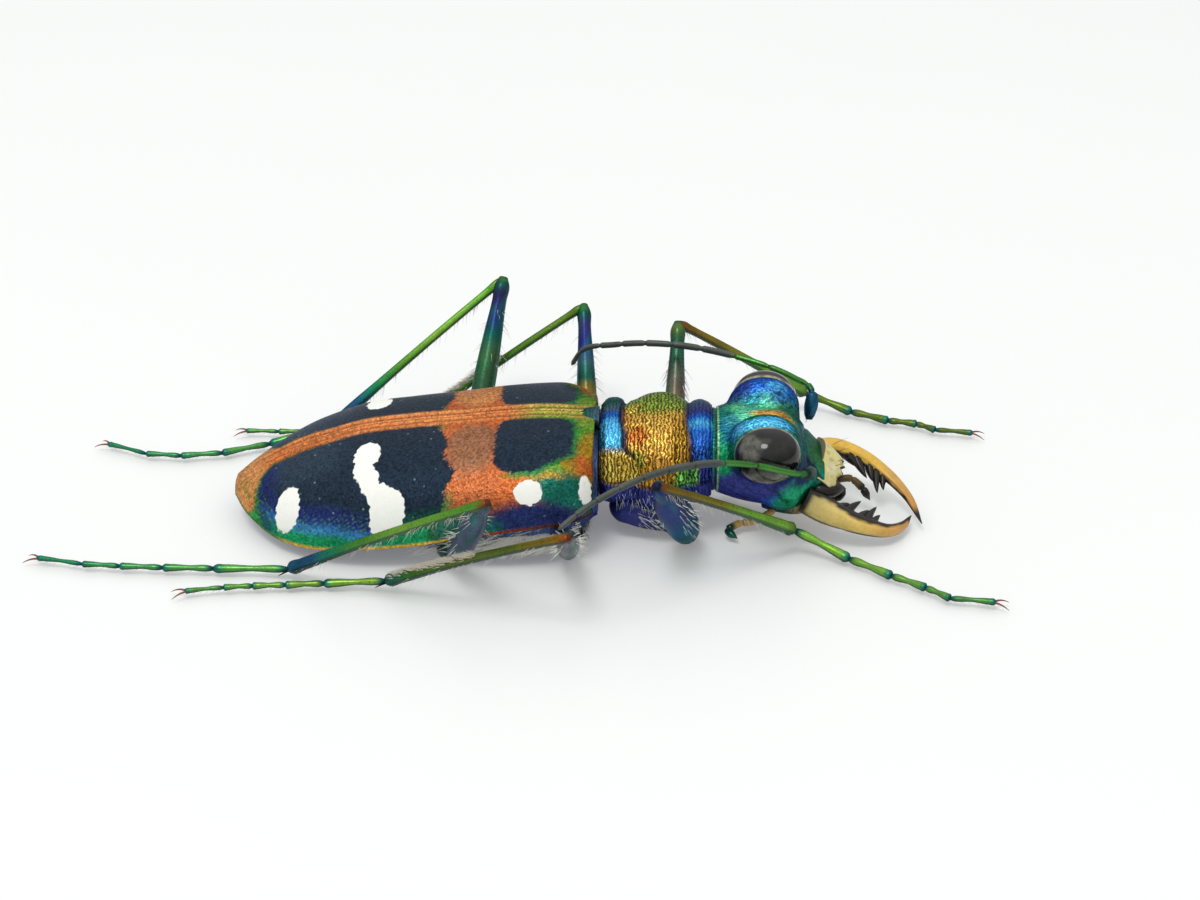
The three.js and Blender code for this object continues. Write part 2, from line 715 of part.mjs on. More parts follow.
// The five foot segments, each widest near its end, and the two claws
function tarsusSolid(leg) {
  const radii = [0.26, 0.25, 0.24, 0.22, 0.19];
  const pieces = radii.map((radius, i) => {
    const line = new THREE.LineCurve3(leg.toes[i], leg.toes[i + 1]);
    const sizes = [[0, 0.75], [0.8, 1], [1, 0.8]];
    return limb(line, sizes.map(([share, part]) => [share, radius * part, radius * part]), { sides: 6 });
  });
  const tip = leg.toes[leg.toes.length - 1];
  const along = tip.clone().sub(leg.toes[leg.toes.length - 2]).normalize();
  const root = tip.clone().addScaledVector(along, -0.15);
  for (const turn of [-CLAW.spread, CLAW.spread]) {
    const lean = along.clone().applyAxisAngle(UP, THREE.MathUtils.degToRad(turn));
    pieces.push(spine(root, lean, CLAW.length + 0.15, CLAW.radius));
  }
  return keepAfter(joined(pieces), leg.ankle, leg.tibiaAlong, leg.tarsusAlong);
}

// The room that the first joints of both legs of a pair take from the body
function legSockets(pairName) {
  const legs = [legFrame(`${pairName}_left`), legFrame(`${pairName}_right`)];
  return legs.flatMap((leg) => [
    coxaSolid(leg, GAP),
    trochanterSolid(leg, GAP),
    femurSolid(leg, GAP),
  ]);
}

function makeLeg(name) {
  const leg = legFrame(name);
  return [
    node(`coxa_${name}`, coxaSolid(leg, 0), VIOLET),
    node(`trochanter_${name}`, trochanterSolid(leg, 0), VIOLET),
    node(`femur_${name}`, femurSolid(leg, 0), VIOLET),
    node(`tibia_${name}`, tibiaSolid(leg), GREEN),
    node(`tarsus_${name}`, tarsusSolid(leg), GREEN),
  ];
}

// The whole animal

const beetle = new THREE.Group();
beetle.name = "tiger_beetle";
beetle.position.set(BASE_TO_CENTRE, MIDLINE_SHIFT, 0);
beetle.add(...makeElytra(), ...makeTrunk(), ...makeProthorax(), ...makeHead());
beetle.add(...makeAntenna("left"), ...makeAntenna("right"));
for (const name of Object.keys(LEG_POSES)) {
  beetle.add(...makeLeg(name));
}

export default beetle;
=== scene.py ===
"""A tiger beetle as a still, life-size museum model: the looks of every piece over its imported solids.

Measures are millimetres in the beetle's own frame: x ahead of the base of the wing cases, y to the
beetle's left and z above the floor. They become metres in the frame's place when a piece is made.
"""

import math

import bpy
import numpy as np
from bpy.props import FloatProperty, FloatVectorProperty, IntProperty, PointerProperty
from bpy.types import Operator, Panel, PropertyGroup
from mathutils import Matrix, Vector


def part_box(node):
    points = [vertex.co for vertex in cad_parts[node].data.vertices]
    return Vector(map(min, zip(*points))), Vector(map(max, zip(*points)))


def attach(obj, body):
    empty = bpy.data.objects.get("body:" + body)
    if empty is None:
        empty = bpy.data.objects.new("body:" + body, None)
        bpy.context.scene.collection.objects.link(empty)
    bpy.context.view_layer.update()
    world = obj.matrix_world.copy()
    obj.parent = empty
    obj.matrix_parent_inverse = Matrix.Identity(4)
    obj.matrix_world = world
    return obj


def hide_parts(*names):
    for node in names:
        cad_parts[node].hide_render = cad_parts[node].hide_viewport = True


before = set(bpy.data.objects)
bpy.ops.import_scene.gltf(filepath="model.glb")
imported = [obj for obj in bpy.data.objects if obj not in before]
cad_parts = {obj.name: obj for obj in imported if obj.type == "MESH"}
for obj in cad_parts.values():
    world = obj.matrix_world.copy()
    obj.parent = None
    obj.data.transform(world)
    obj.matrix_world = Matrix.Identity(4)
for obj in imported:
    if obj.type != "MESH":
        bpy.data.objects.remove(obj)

bl_info = {
    "name": "Tiger beetle model",
    "version": (1, 0, 0),
    "blender": (4, 5, 0),
    "location": "3D View > Sidebar > Tiger beetle",
    "description": "Builds a tiger beetle at life size around its packed solids",
    "category": "Add Mesh",
}

MM = 0.001
LEFT = 1
RIGHT = -1
WING_CASE_FRONT = 0.15  # the wing cases start this far behind their base
SEED = 11
UP = np.array([0, 0, 1.0])


def frame_origin():
    """Where the beetle's own zero lies in the frame, in millimetres: wing case base and midline."""
    left_low, left_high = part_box("elytron_left")
    _, right_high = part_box("elytron_right")
    base = left_high.x / MM + WING_CASE_FRONT
    midline = (left_low.y + right_high.y) / 2 / MM
    return np.array([base, midline, 0.0])


ORIGIN = frame_origin()


# Numbers and curves


def profile(*pairs):
    """A smooth curve through pairs of place and value, as a function of the place."""
    table = np.array(pairs, float)
    places, values = table[:, 0], table[:, 1]
    slopes = np.gradient(values, places)

    def at(place):
        place = np.clip(np.asarray(place, float), places[0], places[-1])
        i = np.clip(np.searchsorted(places, place) - 1, 0, len(places) - 2)
        step = places[i + 1] - places[i]
        t = (place - places[i]) / step
        near = (2 * t**3 - 3 * t**2 + 1) * values[i] + (t**3 - 2 * t**2 + t) * step * slopes[i]
        far = (3 * t**2 - 2 * t**3) * values[i + 1] + (t**3 - t**2) * step * slopes[i + 1]
        return near + far

    return at


def unit(vectors):
    """Vectors of the same directions and of length one."""
    length = np.linalg.norm(vectors, axis=-1, keepdims=True)
    return vectors / np.maximum(length, 1e-9)


def soft_step(value, low, high):
    """0 below low, 1 above high and smooth between; falls instead where high is the smaller."""
    t = np.clip((value - low) / (high - low), 0, 1)
    return t * t * (3 - 2 * t)


def bump_at(value, centre, width):
    """A soft bump, 1 at its centre."""
    return np.exp(-(((value - centre) / width) ** 2))


def bulge(share, squareness):
    """A sine or cosine pushed outwards, so that a circle becomes a rounded square."""
    return np.sign(share) * np.abs(share) ** (2 / squareness)


def rounded_reach(across, up, power):
    """Distance from the middle of a rounded square, 1 at its edge."""
    return (np.abs(across) ** power + np.abs(up) ** power) ** (1 / power)


def level_across(along):
    """The level unit vector at right angles to a direction."""
    return unit(np.cross(UP, along))


def spoke(across, rise, angle):
    """The unit vector out of a limb at an angle from its top."""
    return across * math.sin(angle) + rise * math.cos(angle)


def bow(share, height):
    """How far a limb bowed up by that height stands above its straight line."""
    return height * 4 * share * (1 - share)


def ripple(coordinates, size, seed):
    """Smooth irregular waves of about that size over any coordinates, from -1 to 1."""
    rng = np.random.default_rng(seed)
    waves = 18
    total = np.zeros(coordinates.shape[:-1])
    for _ in range(waves):
        along = rng.normal(size=coordinates.shape[-1])
        along *= 2 * math.pi / size / np.linalg.norm(along) * rng.uniform(0.6, 1.5)
        total += np.sin(coordinates @ along + rng.uniform(0, 2 * math.pi))
    return total / math.sqrt(waves)


def direction(heading, rise, side):
    """The unit vector of a heading towards one side and a rise, in degrees."""
    turn, lift = math.radians(heading), math.radians(rise)
    return np.array([
        math.cos(lift) * math.cos(turn),
        math.cos(lift) * math.sin(turn) * side,
        math.sin(lift),
    ])


def curve_through(points, count):
    """Evenly spaced places on a smooth line through the points, and the tangents there."""
    points = np.array(points, float)
    chords = np.concatenate([[0], np.cumsum(np.linalg.norm(np.diff(points, axis=0), axis=1))])
    fine = np.linspace(0, chords[-1], 400)
    line = np.stack([profile(*zip(chords, points[:, k]))(fine) for k in range(3)], axis=1)
    lengths = np.concatenate([[0], np.cumsum(np.linalg.norm(np.diff(line, axis=0), axis=1))])
    even = np.linspace(0, lengths[-1], count)
    places = np.stack([np.interp(even, lengths, line[:, k]) for k in range(3)], axis=1)
    return places, unit(np.gradient(places, axis=0))


# Colours: each is red, green, blue in linear light and a share of metal


def shade(code, metal=0.0):
    """A colour from its screen code, with its share of metal."""
    channels = [int(code[i:i + 2], 16) / 255 for i in (1, 3, 5)]
    linear = [c / 12.92 if c <= 0.04045 else ((c + 0.055) / 1.055) ** 2.4 for c in channels]
    return np.array(linear + [metal])


INK = shade("#222f3c", 0.25)
INDIGO = shade("#2c3780", 0.8)
VIOLET = shade("#40427c", 0.8)
ROYAL = shade("#2a64bc", 0.85)
AZURE = shade("#55aee2", 0.9)
TEAL = shade("#217a6a", 0.8)
DEEP_GREEN = shade("#1e5646", 0.7)
EMERALD = shade("#25a065", 0.85)
MINT = shade("#70eeb4", 0.9)
LEAF = shade("#5c9a34", 0.8)
FRINGE_GREEN = shade("#2f7440", 0.75)
LIME = shade("#8cc448", 0.85)
OLIVE = shade("#84983a", 0.75)
GOLD = shade("#e2b850", 0.85)
AMBER = shade("#a07a24", 0.8)
COPPER = shade("#eba24a", 0.85)
ORANGE = shade("#c86a38", 0.55)
PEACH = shade("#dc9c60", 0.6)
RUST = shade("#b0521f", 0.8)
BAND_BROWN = shade("#8c6a50", 0.45)
SLATE = shade("#43586a", 0.5)
IVORY = shade("#d6ca86")
HORN = shade("#cf9f52")
YELLOW_HORN = shade("#e6b84a")
TAN = shade("#b8954e")
PITCH = shade("#1a1410")
FEELER_GREY = shade("#434a47", 0.25)
EYE_DARK = shade("#141212")
EYE_GREY = shade("#57564f")
EYE_RIM = shade("#8a8870")
HAIR_WHITE = shade("#f0eee6")
HAIR_DARK = shade("#3a2c22")
CLAW_BROWN = shade("#8a5548")
# painted shade laid in the grooves of the first ring
GROOVE_SHADE_NAVY = shade("#0d1640", 0.6)


def painted(base, colour, mask):
    """The base with a colour laid over it where the mask is above zero."""
    mask = np.clip(mask, 0, 1)[..., None]
    return base * (1 - mask) + colour * mask


def fill(shape, colour):
    """A plain paint of that shape."""
    return np.broadcast_to(colour, (*shape, 4)).copy()


def strokes_on(paint, coordinates, strokes, softness=0.3):
    """Lays soft oval strokes over a paint; a stroke is centre, radii, colour and strength."""
    for centre, radii, colour, strength in strokes:
        away = np.linalg.norm((coordinates - np.array(centre)) / np.array(radii), axis=-1)
        paint = painted(paint, colour, strength * soft_step(away, 1 + softness, 1 - softness))
    return paint


def ramp(share, *stops):
    """Colours along a length, from stops of share and colour."""
    places = [stop[0] for stop in stops]
    colours = np.array([stop[1] for stop in stops])
    return np.stack([np.interp(share, places, colours[:, k]) for k in range(4)], axis=-1)


# Meshes


class Shape:
    """Points, faces, paint and other marks of one piece, gathered patch by patch."""

    def __init__(self):
        self.points = []
        self.faces = []
        self.paint = []
        self.marks = []
        self.roots = []
        self.count = 0

    def add(self, points, faces, paint, mark=1.0, roots=None):
        points = np.asarray(points, float).reshape(-1, 3)
        total = len(points)
        self.points.append(points)
        self.faces.extend([tuple(int(i) + self.count for i in face) for face in faces])
        self.paint.append(np.broadcast_to(paint, (total, 4)) if np.ndim(paint) == 1
                          else np.asarray(paint).reshape(-1, 4))
        self.marks.append(np.broadcast_to(np.asarray(mark, float).reshape(-1), (total,)))
        if roots is not None:
            self.roots.append(np.asarray(roots, float).reshape(-1, 2))
        self.count += total

    def add_grid(self, grid, paint, mark=1.0, wrap=False, caps=False):
        """A sheet of rows and columns; wrapped it is a tube, with caps a closed one."""
        rows, columns = grid.shape[:2]
        faces = grid_faces(rows, columns, wrap)
        points = grid.reshape(-1, 3)
        paint = np.broadcast_to(paint, (rows, columns, 4)).reshape(-1, 4)
        mark = np.broadcast_to(mark, (rows, columns)).reshape(-1)
        if caps:
            first, last = len(points), len(points) + 1
            points = np.vstack([points, grid[0].mean(0), grid[-1].mean(0)])
            paint = np.vstack([paint, paint[0], paint[-1]])
            mark = np.append(mark, [mark[0], mark[-1]])
            end = (rows - 1) * columns
            for j in range(columns):
                after = (j + 1) % columns
                faces.append((first, after, j))
                faces.append((last, end + j, end + after))
        self.add(points, faces, paint, mark)

    def piece(self, name, material, slot, nodes):
        """The finished object, riding on the frame in place of the CAD nodes."""
        points = (np.vstack(self.points) + ORIGIN) * MM
        mesh = bpy.data.meshes.new(name)
        mesh.from_pydata(points.tolist(), [], self.faces)
        mesh.materials.append(material)
        paint = mesh.attributes.new("paint", "FLOAT_COLOR", "POINT")
        paint.data.foreach_set("color", np.vstack(self.paint).astype(np.float32).ravel())
        mark = mesh.attributes.new("mark", "FLOAT", "POINT")
        mark.data.foreach_set("value", np.concatenate(self.marks).astype(np.float32))
        mesh.shade_smooth()
        if self.roots:
            self.map_roots(mesh)
        if mesh.validate():
            raise RuntimeError(f"{name} has a mesh that is not sound")
        piece = bpy.data.objects.new(name, mesh)
        bpy.context.scene.collection.objects.link(piece)
        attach(piece, "root")
        if nodes:
            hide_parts(*nodes)
        return piece

    def map_roots(self, mesh):
        """The bake map of a coat: every hair is a small patch at its root's place on the skin."""
        roots = np.vstack(self.roots)
        corners = np.zeros(len(mesh.loops), np.int32)
        mesh.loops.foreach_get("vertex_index", corners)
        layer = mesh.uv_layers.new(name="OFBake")
        layer.data.foreach_set("uv", roots[corners].astype(np.float32).ravel())


def grid_faces(rows, columns, wrap):
    """Four-sided faces between the points of a grid."""
    across = columns if wrap else columns - 1
    i, j = np.meshgrid(np.arange(rows - 1), np.arange(across), indexing="ij")
    after = (j + 1) % columns
    quads = np.stack([i * columns + j, i * columns + after,
                      (i + 1) * columns + after, (i + 1) * columns + j], axis=-1)
    return [tuple(face) for face in quads.reshape(-1, 4).tolist()]


def grid_normals(grid):
    """Unit vectors square to an open sheet."""
    along = np.gradient(grid, axis=0)
    across = np.gradient(grid, axis=1)
    return unit(np.cross(across, along))


def tube(places, tangents, widths, heights=None, sides=16, squareness=2.0, up=(0, 0, 1)):
    """Rings round a line: points by row and side, and each side's angle from the top."""
    heights = widths if heights is None else heights
    across = unit(np.cross(np.broadcast_to(up, tangents.shape), tangents))
    rise = np.cross(tangents, across)
    angles = np.linspace(0, 2 * math.pi, sides, endpoint=False)
    x = bulge(np.sin(angles), squareness)[None, :, None] * np.asarray(widths)[:, None, None]
    y = bulge(np.cos(angles), squareness)[None, :, None] * np.asarray(heights)[:, None, None]
    return places[:, None] + across[:, None] * x + rise[:, None] * y, angles


def ring_surface(places, sides, centre, inside):
    """A body round the x axis: for each place and angle the radius where inside turns negative."""
    angles = np.linspace(0, 2 * math.pi, sides, endpoint=False)
    x = np.broadcast_to(places[:, None], (len(places), sides))
    z0 = np.broadcast_to(centre(places)[:, None], x.shape)
    sine, cosine = np.sin(angles)[None], np.cos(angles)[None]
    low, high = np.zeros(x.shape), np.full(x.shape, 5.0)
    for _ in range(26):
        middle = (low + high) / 2
        within = inside(x, middle * sine, z0 + middle * cosine) > 0
        low = np.where(within, middle, low)
        high = np.where(within, high, middle)
    return np.stack([x, low * sine, z0 + low * cosine], axis=-1), np.degrees(angles)


def keep_above(grid, lowest):
    """Presses whatever lies below a level up to it, in place."""
    grid[..., 2] = np.maximum(grid[..., 2], lowest)


def turn_from_top(angles, like):
    """Angles from the top over a whole grid; the left side is above zero."""
    return np.broadcast_to(np.where(angles > 180, angles - 360, angles), like.shape)


def closed_ends(grid, steps=3):
    """Extra rings that round off both ends of a wrapped grid towards their middles."""
    rows = []
    for end in (grid[0], grid[-1]):
        middle = end.mean(0)
        rows.append([middle + (end - middle) * share for share in np.linspace(0.35, 0.93, steps)])
    return np.concatenate([np.array(rows[0]), grid, np.array(rows[1][::-1])], axis=0)


def oval(x, y, z, centre, radii):
    """How deep a point lies inside an oval, roughly in millimetres."""
    reach = np.sqrt(((x - centre[0]) / radii[0]) ** 2 + ((np.abs(y) - centre[1]) / radii[1]) ** 2
                    + ((z - centre[2]) / radii[2]) ** 2)
    return (1 - reach) * min(radii)


def blended(depths, softness):
    """The smooth union of several depths."""
    stack = np.stack(depths) / softness
    top = stack.max(0)
    return (top + np.log(np.exp(stack - top).sum(0))) * softness


# Materials

EDGE_TINT = (0.16, 0.2, 0.42, 1.0)  # metal looks dark and bluish where it curves away
PIT_GREY = (0.3, 0.42, 0.46, 1.0)  # the light that the small pits of a wing case throw back


class Look:
    """A material under construction, with short calls for the nodes that the looks share."""

    def __init__(self, name):
        self.material = bpy.data.materials.new(name)
        self.material.use_nodes = True
        self.tree = self.material.node_tree
        self.shader = self.tree.nodes["Principled BSDF"]
        place = self.node("ShaderNodeTexCoord").outputs["Object"]
        scale = self.node("ShaderNodeVectorMath", {"operation": "SCALE"}, {"Vector": place})
        scale.inputs["Scale"].default_value = 1 / MM
        self.place = scale.outputs[0]
        self.paint = self.node("ShaderNodeAttribute", {"attribute_name": "paint"})
        self.mark = self.node("ShaderNodeAttribute", {"attribute_name": "mark"}).outputs["Fac"]

    def node(self, kind, settings=None, inputs=None):
        made = self.tree.nodes.new(kind)
        for key, value in (settings or {}).items():
            setattr(made, key, value)
        for key, value in (inputs or {}).items():
            self.plug(made.inputs[key], value)
        return made

    def plug(self, socket, value):
        if isinstance(value, bpy.types.NodeSocket):
            self.tree.links.new(value, socket)
        else:
            socket.default_value = value

    def math(self, operation, a, b=0.0):
        made = self.node("ShaderNodeMath", {"operation": operation})
        self.plug(made.inputs[0], a)
        self.plug(made.inputs[1], b)
        return made.outputs[0]

    def noise(self, scale, detail=2.0, roughness=0.5, distortion=0.0):
        inputs = {"Vector": self.place, "Scale": scale, "Detail": detail,
                  "Roughness": roughness, "Distortion": distortion}
        return self.node("ShaderNodeTexNoise", None, inputs).outputs["Fac"]

    def cells(self, scale, randomness=1.0):
        """The distance to the nearest of many scattered points."""
        inputs = {"Vector": self.place, "Scale": scale, "Randomness": randomness}
        return self.node("ShaderNodeTexVoronoi", None, inputs).outputs["Distance"]

    def grains(self, scale):
        """A random value for every small grain of the surface."""
        inputs = {"Vector": self.place, "Scale": scale}
        return self.node("ShaderNodeTexVoronoi", None, inputs).outputs["Color"]

    def waves(self, scale, distortion, bands):
        """Close ridges, bent by a distortion."""
        inputs = {"Vector": self.place, "Scale": scale, "Distortion": distortion,
                  "Detail": 2.0, "Detail Scale": 1.9}
        return self.node("ShaderNodeTexWave", {"bands_direction": bands}, inputs).outputs["Fac"]

    def lit(self, colour, factor):
        """The colour made lighter or darker by a factor."""
        made = self.node("ShaderNodeVectorMath", {"operation": "SCALE"}, {"Vector": colour})
        self.plug(made.inputs["Scale"], factor)
        return made.outputs[0]

    def span(self, value, low, high, to_low, to_high):
        inputs = {"Value": value, "From Min": low, "From Max": high,
                  "To Min": to_low, "To Max": to_high}
        return self.node("ShaderNodeMapRange", None, inputs).outputs["Result"]

    def mix(self, factor, a, b):
        made = self.node("ShaderNodeMix", {"data_type": "RGBA"})
        self.plug(made.inputs[0], factor)
        self.plug(made.inputs[6], a)
        self.plug(made.inputs[7], b)
        return made.outputs[2]

    def varied(self, colour, amount, value):
        """The colour made lighter and darker by a value round one half."""
        return self.lit(colour, self.span(value, 0.0, 1.0, 1 - amount, 1 + amount))

    def relief(self, height, distance, strength=1.0, below=None):
        inputs = {"Height": height, "Distance": distance * MM, "Strength": strength}
        if below is not None:
            inputs["Normal"] = below
        return self.node("ShaderNodeBump", None, inputs).outputs["Normal"]

    def done(self, colour, roughness, normal=None, metal=None, **fixed):
        self.plug(self.shader.inputs["Base Color"], colour)
        self.plug(self.shader.inputs["Roughness"], roughness)
        if normal is not None:
            self.plug(self.shader.inputs["Normal"], normal)
        if metal is not None:
            self.plug(self.shader.inputs["Metallic"], metal)
        for name, value in fixed.items():
            self.shader.inputs[name.replace("_", " ")].default_value = value
        return self.material


def wing_case_material(settings):
    """Velvety to metallic wing cases: fine grain, painted glints of light in small pits and smooth cream
    marks.
    """
    look = Look("wing_case")
    grain = look.cells(15.0, randomness=0.9)
    spread = look.grains(15.0)
    speckle = look.noise(9.0, 3.0, 0.65)
    broad = look.noise(0.7, 2.0)
    pit_place = look.cells(settings.pits_per_mm, randomness=0.75)
    pits = look.span(pit_place, 0.08, 0.24, 0.0, 1.0)
    edge = look.math("ADD", look.mark, look.span(speckle, 0.0, 1.0, -0.05, 0.05))
    cream = look.span(edge, -0.012, 0.012, 1.0, 0.0)
    base = look.varied(look.paint.outputs["Color"], 0.38, speckle)
    base = look.lit(look.varied(base, 0.18, broad), look.span(spread, 0.15, 0.85, 0.62, 1.38))
    painted_light_amount = look.span(broad, 0.42, 0.6, 0.05, 1.0)
    # Painted glints: the small pits are lightened towards pale grey where the broad noise lets them show.
    pit_glints = look.math("MULTIPLY", look.span(pit_place, 0.08, 0.14, 0.55, 0.0), painted_light_amount)
    base = look.mix(pit_glints, base, PIT_GREY)
    cream_colour = look.varied(tuple(settings.cream), 0.06, speckle)
    colour = look.mix(cream, base, cream_colour)
    bare = look.math("SUBTRACT", 1.0, cream)
    metal = look.math("MULTIPLY", look.paint.outputs["Alpha"], bare)
    rough = look.span(speckle, 0.25, 0.75, 0.36, 0.5)
    normal = look.relief(pits, 0.02, 0.5)
    grain_height = look.math("MULTIPLY", grain, look.span(cream, 0.0, 1.0, 1.0, 0.3))
    normal = look.relief(grain_height, settings.grain_depth, 1.0, normal)
    return look.done(colour, rough, normal, metal, Specular_IOR_Level=0.22, Specular_Tint=EDGE_TINT)


def wrinkled_material(name, waves, noise, depth, roughness, bands="X", share=0.54):
    """Polished metallic skin with close, wavy wrinkles, its colour painted lighter on their crests as a
    painted highlight and darker between them as painted shade.
    """
    look = Look(name)
    wave = look.waves(waves, 7.5, bands)
    wrinkle = look.noise(noise, 2.0, 0.5, 1.2)
    ridge = look.math("ADD", look.math("MULTIPLY", wave, share),
                      look.math("MULTIPLY", wrinkle, 1.3 - share))
    fine = look.noise(16.0, 2.0, 0.6)
    broad = look.noise(0.9, 2.0)
    spread = look.grains(11.0)
    colour = look.varied(look.varied(look.paint.outputs["Color"], 0.25, broad), 0.2, spread)
    # Painted highlight and shade: the colour is lightened on the wrinkle crests and darkened between them, as
    # far as the mark allows.
    lift = look.span(ridge, 0.35, 0.95, 0.2, 1.95)
    painted_light_amount = look.span(look.mark, 0.0, 1.0, 1.0, lift)
    rough = look.span(fine, 0.3, 0.7, roughness - 0.06, roughness + 0.08)
    height = look.math("MULTIPLY", ridge, look.mark)
    normal = look.relief(height, depth, 1.0)
    normal = look.relief(fine, 0.004, 0.5, normal)
    return look.done(look.lit(colour, painted_light_amount), rough, normal, look.paint.outputs["Alpha"],
                     Specular_IOR_Level=0.35, Specular_Tint=EDGE_TINT)


def limb_material():
    """Legs and feelers: polished skin with fine lengthwise lines and scattered points."""
    look = Look("limb_skin")
    fine = look.noise(14.0, 3.0, 0.6)
    points = look.cells(7.0)
    broad = look.noise(1.6, 2.0)
    colour = look.varied(look.varied(look.paint.outputs["Color"], 0.35, broad), 0.25, fine)
    rough = look.span(fine, 0.3, 0.7, 0.22, 0.4)
    dots = look.span(points, 0.05, 0.2, 0.0, 1.0)
    normal = look.relief(dots, 0.008, 0.5)
    normal = look.relief(fine, 0.006, 0.6, normal)
    return look.done(colour, rough, normal, look.paint.outputs["Alpha"],
                     Specular_IOR_Level=0.4, Specular_Tint=EDGE_TINT)


def eye_material():
    """A glossy dark eye with its fine facets and a cloudy inside."""
    look = Look("eye_facets")
    facets = look.cells(24.0, randomness=0.15)
    cloud = look.noise(2.6, 3.0, 0.65)
    patchy = look.span(cloud, 0.35, 0.65, 0.0, 1.0)
    colour = look.varied(look.paint.outputs["Color"], 0.85, patchy)
    colour = look.varied(colour, 0.15, facets)
    rough = look.span(cloud, 0.3, 0.7, 0.07, 0.14)
    normal = look.relief(facets, 0.0012, 0.4)
    return look.done(colour, rough, normal, Specular_IOR_Level=0.42)


def horn_material():
    """Jaws and lip: smooth ivory to amber horn, cloudy, with dark edges."""
    look = Look("mouth_horn")
    cloud = look.noise(2.2, 3.0, 0.6)
    fine = look.noise(11.0, 3.0, 0.6)
    pits = look.span(look.cells(4.5), 0.08, 0.2, 0.0, 1.0)
    colour = look.varied(look.varied(look.paint.outputs["Color"], 0.3, cloud), 0.18, fine)
    rough = look.span(fine, 0.3, 0.7, 0.28, 0.42)
    normal = look.relief(pits, 0.01, 0.4)
    normal = look.relief(fine, 0.006, 0.6, normal)
    return look.done(colour, rough, normal, look.paint.outputs["Alpha"],
                     Specular_IOR_Level=0.32, Coat_Weight=0.06, Coat_Roughness=0.15)


def hair_material():
    """Bristles and hairs: plain, slightly glossy strands."""
    look = Look("bristle")
    along = look.noise(6.0, 2.0)
    colour = look.varied(look.paint.outputs["Color"], 0.15, along)
    return look.done(colour, look.span(along, 0.2, 0.8, 0.35, 0.5), Specular_IOR_Level=0.6)


# Wing cases

SEAM = 0.012
WING_LENGTH = 11.95
WING_SQUARENESS = 2.6
WING_WIDTH = profile((0.15, 2.75), (0.45, 3.15), (1.1, 3.55), (1.8, 3.72), (3.0, 3.78), (4.5, 3.72),
                     (6.2, 3.64), (7.9, 3.58), (8.7, 3.42), (9.6, 3.02), (10.2, 2.64), (10.7, 2.2),
                     (11.2, 1.66), (11.6, 1.15), (11.95, 0.5))
WING_RIDGE = profile((0.15, 3.84), (1.8, 3.89), (3.0, 3.8), (4.5, 3.63), (6.2, 3.45), (7.9, 3.15),
                     (8.7, 2.88), (9.6, 2.56), (10.7, 2.0), (11.2, 1.71), (11.6, 1.46), (11.95, 1.25))
WING_MARGIN = profile((0.15, 1.7), (0.8, 1.73), (1.8, 1.7), (3.0, 1.52), (4.5, 1.2), (6.2, 0.86),
                      (7.9, 0.7), (9.6, 0.48), (10.4, 0.47), (11.2, 0.6), (11.95, 0.85))
SHELL = 0.14  # thickness of a wing case that shows at its edges
FAR_FROM_CREAM = 9.0

# Cream marks, as ovals on the wing case: centre and radii by distance behind the base and from the seam
CREAM_MARKS = [
    ((9.88, 2.85), (0.42, 0.74)),
    ((7.35, 1.72), (0.42, 0.58)),
    ((7.42, 2.3), (0.32, 0.5)),
    ((7.2, 2.8), (0.3, 0.5)),
    ((6.85, 3.35), (0.38, 0.4)),
    ((6.58, 3.85), (0.56, 0.72)),
    ((6.62, 4.3), (0.52, 0.42)),
    ((2.14, 3.72), (0.44, 0.4)),
    ((0.4, 3.37), (0.2, 0.46)),
]


def wing_case_sheet(rows, columns):
    """The outer sheet of the left wing case, with distances behind the base and from the seam."""
    share = np.linspace(0, 1, rows) ** 0.95
    behind = WING_CASE_FRONT + (WING_LENGTH - WING_CASE_FRONT) * share
    angle = np.linspace(0, math.pi / 2, 500)
    grid = np.zeros((rows, columns, 3))
    from_seam = np.zeros((rows, columns))
    for i, s in enumerate(behind):
        width, low = WING_WIDTH(s) - SEAM, WING_MARGIN(s)
        across = SEAM + bulge(np.sin(angle), WING_SQUARENESS) * width
        up = low + bulge(np.cos(angle), WING_SQUARENESS) * (WING_RIDGE(s) - low)
        length = np.concatenate([[0], np.cumsum(np.hypot(np.diff(across), np.diff(up)))])
        even = np.linspace(0, length[-1], columns)
        grid[i] = np.stack([np.full(columns, -s), np.interp(even, length, across),
                            np.interp(even, length, up)], axis=1)
        from_seam[i] = even
    return grid, np.broadcast_to(behind[:, None], from_seam.shape), from_seam


def wing_case_relief(behind, from_seam, to_margin):
    """Seam ridges, edge bead, shoulder and the hollow at its inside, as heights."""
    tip = soft_step(behind, 11.9, 11.4)
    fade = soft_step(behind, 0.5, 1.2) * tip
    height = 0.035 * tip * bump_at(from_seam, 0.07, 0.055)
    height += 0.045 * fade * bump_at(from_seam, 0.36, 0.07)
    height -= 0.03 * fade * bump_at(from_seam, 0.21, 0.06)
    height -= 0.04 * tip * bump_at(to_margin, 0.3, 0.1)
    height += 0.03 * tip * bump_at(to_margin, 0.07, 0.07)
    height += 0.1 * bump_at(behind, 1.0, 0.7) * bump_at(from_seam, 3.1, 0.6)
    height -= 0.09 * bump_at(behind, 0.8, 0.5) * bump_at(from_seam, 1.9, 0.6)
    return height


def cream_distance(places):
    """Distance in millimetres to the edge of the nearest cream mark, negative inside it."""
    nearest = np.full(places.shape[:-1], FAR_FROM_CREAM)
    for centre, radii in CREAM_MARKS:
        away = (places - np.array(centre)) / np.array(radii)
        reach = rounded_reach(away[..., 0], away[..., 1], 2.2)
        nearest = np.minimum(nearest, (reach - 1) * min(radii))
    return nearest


